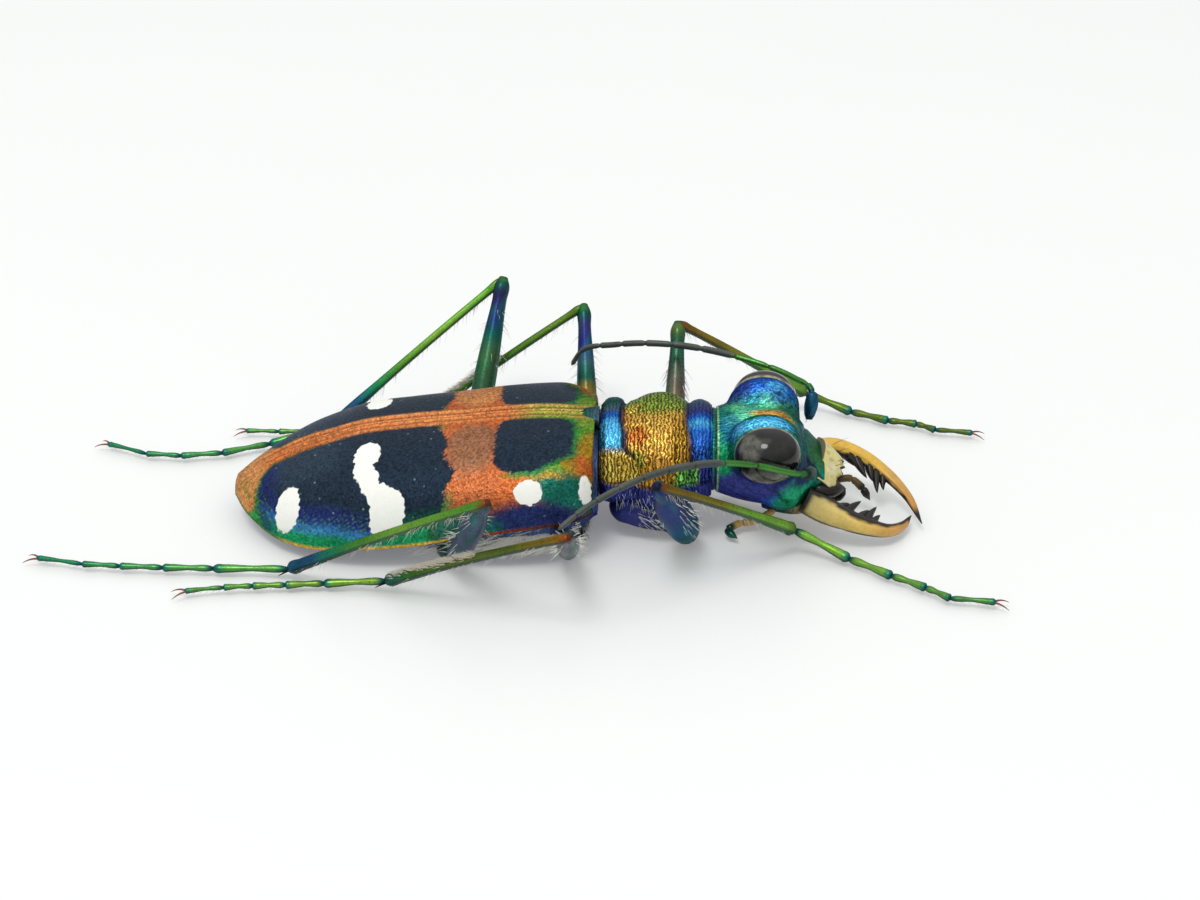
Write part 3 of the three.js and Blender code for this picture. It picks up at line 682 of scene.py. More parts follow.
def dark_patches(behind, from_seam):
    """Distances to the edges of the front and the rear dark patch, negative inside."""
    reach = rounded_reach((behind - 2.05) / 1.24, (from_seam - 1.74) / 1.3, 4.6)
    corner = (1.8 - behind) * 0.75 + from_seam - 2.95
    front = np.maximum((reach - 1) * 1.2, corner * 0.8)
    front_edge = profile((0.3, 5.16), (0.9, 5.02), (1.5, 4.78), (2.1, 4.86), (2.85, 4.48), (3.4, 4.78),
                         (3.9, 4.8), (4.6, 5.3))
    rear_edge = profile((0.3, 10.4), (0.65, 10.65), (1.1, 10.9), (1.7, 10.97), (2.8, 10.8), (4.0, 10.6))
    rear = np.maximum(front_edge(from_seam) - behind, behind - rear_edge(from_seam))
    inner_edge = 0.48 + 0.14 * soft_step(behind, 8.0, 10.6)
    rear = np.maximum(rear, inner_edge - from_seam)
    return front, rear


def wing_case_paint(behind, from_seam, to_margin, band_tone):
    """The colours of a wing case, as soft strokes and two dark patches, with a painted bluish sheen near the
    seam at the rear; the band has its own tone.
    """
    places = np.stack([behind, from_seam], axis=-1)
    jagged = places + 0.03 * np.stack([ripple(places, 0.4, SEED), ripple(places, 0.36, SEED + 1)], axis=-1)
    jagged += 0.042 * np.stack([ripple(places, 0.13, SEED + 2), ripple(places, 0.13, SEED + 3)], axis=-1)
    edge_places = np.stack([jagged[..., 0], to_margin], axis=-1)
    paint = fill(behind.shape, ORANGE)
    paint = strokes_on(paint, jagged, [
        ((4.0, 3.3), (0.9, 1.1), BAND_BROWN, 0.2),
        ((4.0, 1.75), (0.85, 1.15), band_tone, 0.75),
        ((0.8, 1.4), (1.75, 2.0), LEAF, 1.0),
        ((0.9, 0.3), (1.5, 0.7), OLIVE, 0.7),
        ((0.62, 2.4), (0.62, 0.8), AMBER, 1.0),
        ((0.4, 2.6), (0.34, 0.42), RUST * 0.5 + ORANGE * 0.5, 0.8),
        ((0.25, 1.75), (0.3, 0.6), AMBER, 0.8),
        ((0.9, 3.65), (1.15, 0.62), DEEP_GREEN * 0.5 + TEAL * 0.5, 1.0),
        ((2.0, 3.15), (1.0, 0.13), AMBER, 0.8),
        ((1.7, 4.75), (2.2, 0.75), INDIGO * 0.45 + INK * 0.55, 1.0),
        ((4.7, 4.85), (1.6, 0.62), TEAL, 0.95),
        ((11.5, 0.8), (0.75, 1.1), PEACH * 0.9 + AMBER * 0.2, 0.9),
    ])
    green_end = soft_step(behind, 9.4, 10.4) * soft_step(from_seam, 1.7, 2.1)
    paint = painted(paint, LEAF * 0.4 + EMERALD * 0.6, green_end)
    front, rear = dark_patches(jagged[..., 0], jagged[..., 1])
    fringe = soft_step(front, 0.3, 0.03) * soft_step(behind, 3.2, 2.4)
    by_seam_or_end = np.maximum(0.55 * soft_step(from_seam, 1.0, 0.7), soft_step(behind, 9.6, 10.6))
    fringe = np.maximum(fringe, soft_step(rear, 0.2, 0.06) * by_seam_or_end)
    fringe = np.maximum(fringe, soft_step(rear, 0.45, 0.05) * soft_step(from_seam, 3.2, 3.9) * 0.9)
    paint = painted(paint, FRINGE_GREEN, fringe)
    dark = ramp(edge_places[..., 1] + 0.3 * soft_step(behind, 8.6, 7.0),
                (0.4, EMERALD), (0.68, ROYAL * 0.5 + AZURE * 0.5), (1.0, INDIGO), (1.6, INK), (5.0, INK))
    low_green = ramp(edge_places[..., 1], (0.5, EMERALD), (0.8, DEEP_GREEN), (1.3, INK), (5.0, INK))
    dark = painted(dark, low_green, soft_step(behind, 7.1, 6.6))
    # Painted sheen: bluish slate laid over the rear of the dark patch near the seam.
    dark = painted(dark, SLATE, 0.3 * soft_step(behind, 7.5, 9.5) * soft_step(from_seam, 2.6, 1.6))
    dark = painted(dark, INDIGO * 0.6, soft_step(behind, 10.0, 10.8) * 0.8)
    paint = painted(paint, dark, soft_step(np.minimum(front, rear), 0.03, -0.03))
    speckle = soft_step(ripple(places, 0.16, SEED + 8), 0.2, 1.1)
    paint = painted(paint, LEAF, 0.6 * speckle * soft_step(np.abs(edge_places[..., 1] - 0.8), 0.5, 0.2)
                    * soft_step(behind, 6.0, 7.5))
    seam = soft_step(from_seam, 0.56, 0.38)
    seam_colour = ramp(behind, (0.6, OLIVE), (2.0, OLIVE), (3.0, ORANGE), (5.0, ORANGE * 0.7 + PEACH * 0.3),
                       (10.6, ORANGE), (11.5, PEACH))
    paint = painted(paint, seam_colour, seam)
    ridges = 0.75 * bump_at(from_seam, 0.34, 0.05) + 0.7 * bump_at(from_seam, 0.07, 0.045)
    paint = painted(paint, PEACH, ridges)
    paint = painted(paint, RUST * 0.5, 0.5 * bump_at(from_seam, 0.21, 0.05))
    edge_colour = ramp(behind, (0.3, PITCH), (2.6, RUST * 0.4), (3.6, RUST * 0.8), (4.6, GOLD), (9.8, GOLD),
                       (10.4, LEAF * 0.6), (11.9, LEAF * 0.6))
    return painted(paint, edge_colour, soft_step(to_margin, 0.14, 0.08))


def make_wing_case(side_name, side, material):
    """A thin closed shell: an outer sheet with its relief and pattern, and a dark inner one."""
    rows, columns = 250, 116
    sheet, behind, from_seam = wing_case_sheet(rows, columns)
    to_margin = from_seam[:, -1:] - from_seam
    out = grid_normals(sheet)
    out = out if out[rows // 2, columns // 2, 2] > 0 else -out
    outer = sheet + out * wing_case_relief(behind, from_seam, to_margin)[..., None]
    outer[..., 1] = np.maximum(outer[..., 1], SEAM)
    wall = SHELL * (0.25 + 0.75 * np.minimum(soft_step(to_margin, 0.0, 0.4), soft_step(behind, 11.9, 11.2)))
    inner = sheet - out * wall[..., None]
    inner[..., 1] = np.maximum(inner[..., 1], SEAM)
    paint = wing_case_paint(behind, from_seam, to_margin, BAND_BROWN if side == RIGHT else PEACH)
    places = np.stack([behind, from_seam], axis=-1)
    unevenness = np.stack([ripple(places, 0.24, SEED + 4), ripple(places, 0.24, SEED + 5)], axis=-1)
    cream = cream_distance(places + 0.024 * unevenness)
    mirror = np.array([1, side, 1])
    grids = np.concatenate([outer, inner[:, ::-1]], axis=1) * mirror
    paints = np.concatenate([paint, fill(paint.shape[:2], PITCH)[:, ::-1]], axis=1)
    marks = np.concatenate([cream, np.full(cream.shape, FAR_FROM_CREAM)], axis=1)
    if side == LEFT:
        grids, paints, marks = grids[:, ::-1], paints[:, ::-1], marks[:, ::-1]
    shape = Shape()
    shape.add_grid(grids, paints, marks, wrap=True, caps=False)
    close_wing_case_ends(shape, grids)
    return shape.piece(f"wing_case_{side_name}", material, "wing_cases", [f"elytron_{side_name}"])


def close_wing_case_ends(shape, grids):
    """Stitches the outer sheet to the inner one across the front and the rear end."""
    rows, around = grids.shape[:2]
    half = around // 2
    last = (rows - 1) * around
    for start, flip in ((0, False), (last, True)):
        for j in range(half - 1):
            face = (start + j, start + j + 1, start + around - 2 - j, start + around - 1 - j)
            shape.faces.append(face if flip else face[::-1])


def make_scutellum(material):
    """The small triangular plate between the wing case bases, domed and finely wrinkled."""
    rows, columns = 26, 25
    along = np.linspace(0, 1, rows)[:, None]
    across = np.linspace(-1, 1, columns)[None]
    half = 0.5 * (1 - along) ** 0.85 + 0.004
    y = half * across
    x = np.broadcast_to(-0.02 - 0.95 * along, y.shape)
    top = 3.93 - 0.1 * along - 0.12 * across**2 * (1 - along) + 0.03 * bump_at(along, 0.3, 0.3)
    upper = np.stack([x, y, top], axis=-1)
    lower = upper - np.array([0, 0, 0.35])
    grid = np.concatenate([upper, lower[:, ::-1]], axis=1)
    share = np.broadcast_to(along, grid.shape[:2])
    paint = ramp(share, (0, SLATE), (0.5, DEEP_GREEN), (1, OLIVE))
    shape = Shape()
    shape.add_grid(grid, paint, 0.4, wrap=True, caps=True)
    return shape.piece("scutellum_plate", material, "back_plate", ["scutellum"])


# The body under the wing cases

TRUNK_BOTTOM = profile((0.0, 0.95), (0.5, 0.55), (1.5, 0.3), (3.0, 0.2), (5.0, 0.14), (5.6, 0.16),
                       (6.4, 0.03), (8.0, 0.02), (9.6, 0.02), (10.6, 0.2), (11.3, 0.5), (11.6, 0.8))
SEGMENT_STARTS = [5.55, 6.6, 7.7, 8.75, 9.75, 10.55]


def make_trunk(material):
    """Thorax and abdomen as one skin, with the plates' seams and the belly's rings."""
    places = -np.linspace(0.02, 11.55, 210)

    def centre(x):
        return (TRUNK_BOTTOM(-x) + WING_MARGIN(-x)) / 2 + 0.35

    def inside(x, y, z):
        s = -x
        low, edge = TRUNK_BOTTOM(s), WING_MARGIN(s)
        middle = centre(x)
        width = WING_WIDTH(s) - 0.2 - 0.35 * soft_step(s, 5.2, 6.2) - 0.2 * soft_step(s, 1.2, 0.2)
        top = WING_RIDGE(s) - 0.35
        above = z > middle
        height = np.where(above, top - middle, middle - low)
        power = np.where(above, 2.3, 2.8)
        tuck = np.where(above, 1.0, 1 - 0.12 * soft_step(edge - z, 0.0, 1.2))
        return 1 - rounded_reach(y / (width * tuck), (z - middle) / height, power)

    grid, angles = ring_surface(places, 150, centre, inside)
    s = -grid[..., 0]
    turn = np.abs(turn_from_top(angles, s))
    below = soft_step(turn, 85, 105)
    groove = sum(bump_at(s, start, 0.05) for start in SEGMENT_STARTS) * 0.06
    lap = sum(np.where(s > start, np.exp(-(s - start) / 0.5), 0) for start in SEGMENT_STARTS) * 0.03
    side_seam = 0.05 * bump_at(turn, 108 + 3 * s, 2.5) * soft_step(s, 5.3, 4.9)
    plate_seam = 0.05 * bump_at(s, 1.6 + (turn - 90) * 0.02, 0.05) * soft_step(s, 5.0, 4.6)
    middle_line = 0.04 * bump_at(turn, 180, 2.0) * soft_step(s, 5.3, 4.9)
    depth = below * (groove - lap * (1 - groove / 0.06) + side_seam + plate_seam + middle_line)
    grid = grid + grid_outward(grid) * -depth[..., None]
    keep_above(grid, 0.004)
    paint = ramp(s, (0, INDIGO), (2.5, VIOLET), (5.2, INDIGO), (6.5, VIOLET), (9.0, INDIGO), (11.0, VIOLET))
    flank = soft_step(turn, 90, 100) * soft_step(turn, 135, 110)
    paint = painted(paint, TEAL, 0.5 * flank * soft_step(ripple(grid, 1.6, SEED), -0.4, 0.8))
    paint = painted(paint, SLATE, 0.55 * soft_step(turn, 100, 86))
    # Painted shade: darker in the grooves between the belly's rings and along the seams, by their depth.
    paint = painted(paint, PITCH, np.clip(depth / 0.07, 0, 0.7))
    shape = Shape()
    shape.add_grid(closed_ends(grid), pad_rows(paint), 0.35, wrap=True, caps=True)
    return shape.piece("trunk", material, "underside", ["pterothorax", "abdomen"])


def pad_rows(paint, steps=3):
    """The paint or marks of a body, carried on over the rings that close its ends."""
    return np.concatenate([np.repeat(paint[:1], steps, 0), paint, np.repeat(paint[-1:], steps, 0)], axis=0)


def grid_outward(grid):
    """Unit vectors out of a wrapped grid, from its neighbours round and along."""
    along = np.gradient(grid, axis=0)
    across = np.roll(grid, -1, axis=1) - np.roll(grid, 1, axis=1)
    out = unit(np.cross(across, along))
    centre = grid.mean(1, keepdims=True)
    return np.where(((out * (grid - centre)).sum(-1, keepdims=True)) < 0, -out, out)


# The first body ring, with the back plate

RING_TOP = profile((0.0, 3.72), (0.25, 3.94), (0.5, 3.98), (0.85, 3.86), (1.5, 4.0), (2.3, 4.04),
                   (2.9, 3.88), (3.25, 3.98), (3.6, 3.88))
RING_WIDTH = profile((0.0, 1.6), (0.25, 1.82), (0.5, 1.88), (0.95, 1.78), (1.6, 2.1), (2.3, 2.14),
                     (2.9, 1.82), (3.25, 1.8), (3.6, 1.62))
RING_BOTTOM = profile((0.0, 1.1), (1.2, 0.8), (2.6, 0.85), (3.6, 1.2))
RING_MIDDLE = 2.5
RING_SQUARENESS = 2.6


def make_first_ring(material):
    """Back plate and underside of the first body ring: lobes, deep grooves with painted shade in them and a
    wrinkled disc.
    """
    places = np.linspace(0.02, 3.62, 150)

    def centre(x):
        return np.full(np.shape(x), RING_MIDDLE)

    def inside(x, y, z):
        height = np.where(z > RING_MIDDLE, RING_TOP(x) - RING_MIDDLE, RING_MIDDLE - RING_BOTTOM(x))
        return 1 - rounded_reach(y / RING_WIDTH(x), (z - RING_MIDDLE) / height, RING_SQUARENESS)

    grid, angles = ring_surface(places, 260, centre, inside)
    x = grid[..., 0]
    turn = turn_from_top(angles, x)
    away = np.abs(turn)
    upper = soft_step(away, 104, 92)
    rear_line = 0.74 + 0.1 * soft_step(away, 20, 45) + 0.5 * soft_step(away, 56, 84)
    front_line = 2.78 + 0.16 * soft_step(away, 10, 70)
    rear_groove = bump_at(x, rear_line, 0.08) * soft_step(away, 78, 62)
    front_groove = bump_at(x, front_line, 0.085) * soft_step(away, 100, 88)
    middle_line = bump_at(turn, 0, 1.6) * soft_step(x, 0.7, 1.0) * soft_step(x, 3.0, 2.7)
    edge_line = bump_at(away, 97, 1.8)
    depth = 0.11 * rear_groove + 0.07 * front_groove + 0.03 * middle_line + 0.06 * edge_line
    depth -= 0.05 * bump_at(x, 1.8, 0.6) * bump_at(away, 45, 30)
    depth += 0.05 * bump_at(x, 3.62, 0.06) - 0.02 * bump_at(x, 0.2, 0.1)
    grid = grid - grid_outward(grid) * depth[..., None]
    paint = first_ring_paint(x, turn, rear_line, front_line)
    # Painted shade: dark navy laid in the two cross grooves and along the side edge line, by their depth.
    dark = np.clip(1.1 * rear_groove + 0.7 * front_groove + 0.7 * edge_line, 0, 0.85)
    paint = painted(paint, GROOVE_SHADE_NAVY, dark)
    disc = soft_step(x, rear_line, rear_line + 0.15) * soft_step(x, front_line, front_line - 0.15) * upper
    # The mark sets how deep the wrinkles are and how strongly their painted highlight and shade show, fullest
    # on the disc and the upper sides.
    mark = 0.5 + 0.5 * np.maximum(disc, upper * soft_step(away, 55, 65))
    shape = Shape()
    shape.add_grid(closed_ends(grid), pad_rows(paint), pad_rows(mark), wrap=True, caps=True)
    return shape.piece("first_ring", material, "back_plate", ["pronotum", "prothorax_underside"])


def first_ring_paint(x, turn, rear_line, front_line):
    """Colours by place along the ring and by angle from the top; the right side is below zero."""
    places = np.stack([x, turn], axis=-1)
    wander = np.stack([x, turn * 0.035], axis=-1)
    places = places + np.array([0.04, 2.0]) * ripple(wander, 0.5, SEED)[..., None]
    paint = fill(x.shape, COPPER)
    paint = strokes_on(paint, places, [
        ((1.9, -40), (1.1, 28), GOLD * 0.5 + COPPER * 0.5, 0.7),
        ((2.7, -60), (0.4, 45), AMBER, 0.8),
        ((1.25, -46), (0.32, 11), RUST, 0.8),
        ((1.5, -86), (1.2, 14), AMBER, 0.8),
        ((1.15, -70), (0.4, 9), OLIVE, 0.8),
        ((1.8, 38), (1.4, 52), OLIVE, 1.0),
        ((1.05, 10), (0.35, 8), GOLD, 0.7),
        ((1.7, 70), (0.9, 22), COPPER, 0.7),
        ((2.85, -90), (0.42, 15), LIME * 0.7 + EMERALD * 0.4, 1.0),
        ((2.85, 90), (0.42, 15), LIME * 0.7 + EMERALD * 0.4, 1.0),
    ])
    rear = soft_step(x, rear_line + 0.03, rear_line - 0.05)
    rear_colour = ramp(turn, (-85, GOLD), (-66, GOLD), (-58, AZURE), (-30, AZURE), (-12, ROYAL), (0, SLATE),
                       (20, DEEP_GREEN), (60, TEAL), (66, GOLD), (85, GOLD))
    paint = painted(paint, rear_colour, rear)
    front = soft_step(x, front_line - 0.03, front_line + 0.06) * soft_step(np.abs(turn), 80, 70)
    # The azure stop on the near side of the front lobe is a painted highlight on its blue.
    front_colour = ramp(turn, (-95, INDIGO), (-60, ROYAL * 0.6 + INDIGO * 0.4), (-38, ROYAL), (-26, AZURE),
                        (-14, ROYAL), (0, VIOLET), (30, SLATE), (60, TEAL), (95, INDIGO))
    paint = painted(paint, INDIGO, soft_step(x, 3.05, 3.3))
    paint = painted(paint, front_colour, front)
    lower = soft_step(np.abs(turn), 96, 101)
    return painted(paint, INDIGO * 0.7 + VIOLET * 0.3, lower)


# Head

HEAD_TOP = profile((3.6, 3.74), (4.0, 3.86), (4.4, 3.92), (5.2, 3.98), (5.8, 3.92), (6.4, 3.45), (6.8, 2.98),
                   (7.25, 2.5))
HEAD_WIDTH = profile((3.6, 1.52), (4.0, 1.6), (4.4, 1.68), (5.2, 1.85), (5.9, 1.8), (6.5, 1.45),
                     (6.9, 1.15), (7.25, 0.95))
HEAD_BOTTOM = profile((3.6, 1.4), (4.5, 1.1), (5.5, 1.0), (6.3, 1.05), (7.25, 1.6))
EYE_AT = {LEFT: (5.35, 1.75, 3.5), RIGHT: (5.35, 1.78, 3.38)}
EYE_RADII = (1.06, 0.98, 0.92)
DOME_AT = {LEFT: (5.3, 1.22, 3.55), RIGHT: (5.3, 1.16, 3.47)}
DOME_RADII = (1.14, 0.74, 0.95)


def head_depth(x, y, z):
    """How deep a point lies in the head: skull, eye domes, sockets and cheeks melted together."""
    low, high = HEAD_BOTTOM(x), HEAD_TOP(x)
    middle = low + (high - low) * 0.52
    height = np.where(z > middle, high - middle, middle - low)
    width = HEAD_WIDTH(x)
    skull = (1 - rounded_reach(y / width, (z - middle) / height, 2.4)) * 1.3
    left_dome = oval(x, y, z, DOME_AT[LEFT], DOME_RADII)
    right_dome = oval(x, y, z, DOME_AT[RIGHT], DOME_RADII)
    dome = np.where(y > 0, left_dome, right_dome)
    socket = oval(x, y, z, (5.35, 1.55, 3.22), (1.13, 0.7, 0.9))
    cheek = oval(x, y, z, (5.95, 1.22, 1.75), (0.75, 0.55, 0.62))
    return blended([skull, dome, socket, cheek], 0.07)


def make_head(material):
    """The head capsule: neck, eye domes, hollow brow, face plate, cheeks and sockets."""
    places = np.concatenate([np.linspace(3.6, 6.9, 150), np.linspace(6.92, 7.25, 20)])

    def centre(x):
        return (HEAD_BOTTOM(x) + HEAD_TOP(x)) / 2

    grid, _ = ring_surface(places, 300, centre, head_depth)
    x, y, z = grid[..., 0], grid[..., 1], grid[..., 2]
    side = np.abs(y)
    top = soft_step(z, 2.9, 3.3)
    neck = 0.05 * bump_at(x, 3.72, 0.035)
    face_line = 0.05 * bump_at(x, 6.72 - 0.12 * bump_at(side, 0, 0.7), 0.05) * soft_step(z, 1.9, 2.3)
    face_edge = 0.05 * bump_at(side, 1.05, 0.05) * soft_step(x, 6.6, 6.8) * soft_step(z, 1.8, 2.1)
    hollow = 0.07 * bump_at(x, 5.4, 0.7) * bump_at(side, 0.45, 0.3) * top
    gula = 0.05 * bump_at(side, 0.6, 0.05) * soft_step(z, 1.6, 1.3)
    stripe = np.abs((side - 0.75) / 0.5)
    lines = 0.014 * np.cos(side * 2 * math.pi / 0.13) * soft_step(stripe, 1.0, 0.6) * top
    lines *= soft_step(x, 4.2, 4.6) * soft_step(x, 6.5, 6.2)
    depth = neck + face_line + face_edge + hollow + gula + lines
    grid = grid - grid_outward(grid) * depth[..., None]
    paint = head_paint(grid)
    # Painted shade: the neck groove, the face seams and the throat seam are darkened by their depth.
    dark = np.clip((neck + face_line + face_edge + gula) / 0.06, 0, 0.75)
    paint = painted(paint, PITCH, dark)
    # The mark sets how deep the wrinkles are and how strongly their painted highlight and shade show,
    # stronger over the top of the head.
    mark = 0.35 + 0.5 * soft_step(z, 2.7, 3.4)
    shape = Shape()
    shape.add_grid(closed_ends(grid), pad_rows(paint), pad_rows(mark), wrap=True, caps=True)
    return shape.piece("head_capsule", material, "head_plate", ["head"])


def head_paint(grid):
    """Teal to emerald above with a copper streak, royal blue domes, violet cheeks; the vertex's green is
    painted pale mint as a highlight, and the far dome has a painted azure highlight on top.
    """
    places = grid + 0.05 * ripple(grid, 0.5, SEED + 7)[..., None]
    mirrored = places * np.array([1, 0, 1]) + np.abs(places) * np.array([0, 1, 0])
    paint = fill(grid.shape[:2], TEAL)
    paint = strokes_on(paint, mirrored, [
        ((5.0, 1.6, 1.8), (1.7, 1.6, 1.15), VIOLET * 0.5 + INDIGO * 0.5, 1.0),
        ((5.7, 1.5, 1.35), (0.55, 1.0, 0.5), ROYAL * 0.6 + INDIGO * 0.4, 0.9),
        ((6.3, 1.4, 1.5), (0.75, 0.9, 0.8), EMERALD * 0.6 + TEAL * 0.4, 0.95),
        ((4.0, 1.5, 3.0), (0.3, 0.7, 0.5), EMERALD, 0.9),
        # The green of the vertex, painted pale mint as a highlight.
        ((5.4, 0.45, 3.95), (1.25, 0.62, 0.8), MINT * 0.8 + LIME * 0.2, 1.0),
        ((4.9, 0.9, 3.8), (0.5, 0.45, 0.5), TEAL, 0.9),
        ((6.2, 0.9, 3.6), (0.6, 0.7, 0.7), DEEP_GREEN, 0.9),
        ((7.0, 0.0, 2.7), (0.45, 1.3, 0.5), DEEP_GREEN * 0.6 + LEAF * 0.4, 0.9),
        ((6.55, 1.35, 2.6), (0.5, 0.55, 0.5), INDIGO * 0.35 + PITCH * 0.4, 0.9),
    ])
    paint = strokes_on(paint, places, [
        ((5.3, 1.25, 4.2), (1.15, 0.62, 0.8), ROYAL * 0.8 + INDIGO * 0.2, 1.0),
        # Painted highlight: azure on the top of the far eye dome.
        ((5.7, 1.0, 4.35), (0.36, 0.2, 0.3), AZURE, 0.7),
        ((5.2, 1.5, 4.3), (0.9, 0.2, 0.4), INDIGO, 0.6),
        ((4.6, 1.2, 3.9), (0.5, 0.5, 0.6), INDIGO, 0.8),
        ((5.35, -1.1, 4.3), (1.0, 0.28, 0.5), TEAL * 0.6 + EMERALD * 0.4, 0.9),
        ((5.2, -1.36, 4.3), (1.05, 0.2, 0.5), AZURE * 1.1, 1.0),
        ((4.25, -0.7, 3.8), (0.4, 0.7, 0.4), ROYAL * 0.5 + TEAL * 0.5, 0.7),
        ((4.55, -1.3, 3.9), (0.4, 0.25, 0.4), AZURE, 0.9),
        # The green of the vertex, painted pale mint as a highlight.
        ((4.9, 0.0, 3.98), (0.5, 0.34, 0.5), MINT * 1.1, 0.9),
        ((5.7, -0.05, 3.95), (0.85, 0.25, 0.6), COPPER, 0.95),
    ])
    paint = painted(paint, MINT * 0.5 + IVORY * 0.5, 0.8 * bump_at(grid[..., 0], 3.8, 0.03))
    return painted(paint, INDIGO * 0.6, soft_step(grid[..., 2], 1.35, 1.05))


def make_eye(side_name, side, material):
    """A smooth domed eye with grey mottling, a painted reflection of the pale floor over its lower part and a
    paler rim where it meets the head.
    """
    rows, columns = 70, 96
    tilt = np.linspace(0.02, math.pi - 0.02, rows)[:, None]
    turn = np.linspace(0, 2 * math.pi, columns, endpoint=False)[None]
    x = np.sin(tilt) * np.cos(turn)
    z = np.sin(tilt) * np.sin(turn)
    y = np.broadcast_to(np.cos(tilt), x.shape)
    grid = np.stack([x, y, z], axis=-1) * np.array(EYE_RADII)
    grid = (grid + np.array(EYE_AT[side])) * np.array([1, side, 1])
    depth = head_depth(grid[..., 0], grid[..., 1], grid[..., 2])
    paint = fill(depth.shape, EYE_DARK)
    paint = strokes_on(paint, grid * np.array([1, side, 1]), [
        ((4.75, 2.35, 3.95), (0.4, 0.5, 0.42), EYE_GREY, 0.75),
        ((5.25, 2.5, 4.25), (0.22, 0.3, 0.16), EYE_GREY, 0.5),
        # Painted reflection of the pale floor over the lower part of the eye.
        ((5.4, 2.6, 2.85), (0.95, 0.6, 0.42), EYE_GREY, 0.85),
    ])
    paint = painted(paint, EYE_RIM, soft_step(depth, -0.1, -0.04))
    if side == LEFT:
        grid, paint = grid[:, ::-1], paint[:, ::-1]
    shape = Shape()
    shape.add_grid(grid, paint, 1.0, wrap=True, caps=True)
    return shape.piece(f"eye_dome_{side_name}", material, "eyes", [f"eye_{side_name}"])


# Mouth

JAWS = {
    "right": [(6.6, 1.35, 1.5), (7.35, 1.52, 1.18), (8.6, 1.65, 0.72), (9.3, 1.5, 0.48), (9.85, 0.95, 0.33),
              (10.2, 0.25, 0.3)],
    "left": [(6.95, 1.3, 1.9), (7.8, 1.65, 1.75), (8.6, 1.65, 1.45), (9.35, 1.25, 1.1), (10.1, 0.35, 0.7),
             (10.5, -0.8, 0.35)],
}
JAW_WIDTH = profile((0, 0.36), (0.15, 0.42), (0.35, 0.36), (0.55, 0.28), (0.72, 0.2), (0.88, 0.12), (1, 0.02))
JAW_HEIGHT = profile((0, 0.34), (0.15, 0.34), (0.35, 0.27), (0.6, 0.19), (0.85, 0.1), (1, 0.02))
# How much wider and higher than the profiles each jaw is
JAW_BULK = {LEFT: (0.88, 0.88), RIGHT: (1.0, 1.28)}
TOOTH_RISE = {LEFT: -0.3, RIGHT: 0.42}
# Each tooth: its place along the jaw, its length and its radius at the root
JAW_TEETH = [(0.26, 0.5, 0.22), (0.32, 0.8, 0.2), (0.43, 0.55, 0.19), (0.49, 0.82, 0.18), (0.55, 0.5, 0.16)]


def cone(root, along, length, radius, bend=(0, 0, 0), sides=7, rings=5):
    """A pointed spine on a bent line, as a grid of rings that close at the tip."""
    share = np.linspace(0, 1, rings)
    line = np.array(root) + np.outer(share * length, along) + np.outer(share**2, bend)
    widths = radius * (1 - share) ** 0.7 + 0.004
    rings_of, _ = tube(line, unit(np.gradient(line, axis=0)), widths, sides=sides)
    return rings_of


def make_jaw(side_name, side, material):
    """A long sickle jaw: horn coloured outside, dark along the toothed inner edge and black at the tip."""
    points = np.array(JAWS[side_name]) * np.array([1, side, 1])
    rows = 90
    places, tangents = curve_through(points, rows)
    share = np.linspace(0, 1, rows)
    wider, higher = JAW_BULK[side]
    widths, heights = JAW_WIDTH(share) * wider, JAW_HEIGHT(share) * higher
    grid, _ = tube(places, tangents, widths, heights, sides=32, squareness=2.2)
    inward = unit(np.cross(tangents, np.array([0, 0, 1.0])) * side)
    inner = ((grid - places[:, None]) * inward[:, None]).sum(-1) / np.maximum(widths, 0.02)[:, None]
    base_tone = YELLOW_HORN if side == LEFT else IVORY * 0.75 + HORN * 0.25
    along = np.broadcast_to(share[:, None], inner.shape)
    paint = ramp(along, (0, base_tone), (0.4, base_tone * 0.5 + YELLOW_HORN * 0.5), (0.62, HORN),
                 (0.84, HORN * 0.7 + RUST * 0.3), (1, PITCH))
    paint[..., 3] = 0.1
    beneath = (places[:, None, 2] - grid[..., 2]) / np.maximum(heights, 0.02)[:, None]
    wander = 0.1 * ripple(grid, 0.5, SEED)
    if side == RIGHT:
        reach = inner
        edge = profile((0, -0.38), (0.25, -0.42), (0.42, -0.7), (0.6, -0.6), (1, -0.4))(share)[:, None]
    else:
        reach = 0.6 * inner + 0.8 * beneath
        edge = 0.22
    paint = painted(paint, PITCH, soft_step(reach + wander, edge, edge + 0.22))
    paint = painted(paint, PITCH, soft_step(along, 0.86, 0.93))
    paint = painted(paint, PITCH, soft_step(along, 0.06, 0.02))
    paint = painted(paint, PITCH, 0.9 * soft_step(beneath + 0.4 * wander, 0.36, 0.54))
    groove = 0.05 * bump_at(reach, edge, 0.14) * soft_step(share, 0.95, 0.8)[:, None]
    grid = grid - grid_outward(grid) * groove[..., None]
    shape = Shape()
    shape.add_grid(grid, paint, 1.0, wrap=True, caps=True)
    add_molar(shape, side)
    for at, length, radius in JAW_TEETH:
        i = int(at * (rows - 1))
        lean = unit(inward[i] + 0.55 * tangents[i] + np.array([0, 0, TOOTH_RISE[side]]))
        root = places[i] + inward[i] * widths[i] * 0.45 + np.array([0, 0, 0.2 * TOOTH_RISE[side]])
        tooth = cone(root, lean, length, radius, bend=tangents[i] * 0.12, sides=10, rings=8)
        shape.add_grid(tooth, PITCH, 1.0, wrap=True, caps=True)
    return shape.piece(f"jaw_{side_name}", material, "ivory_mouth", [f"mandible_{side_name}"])


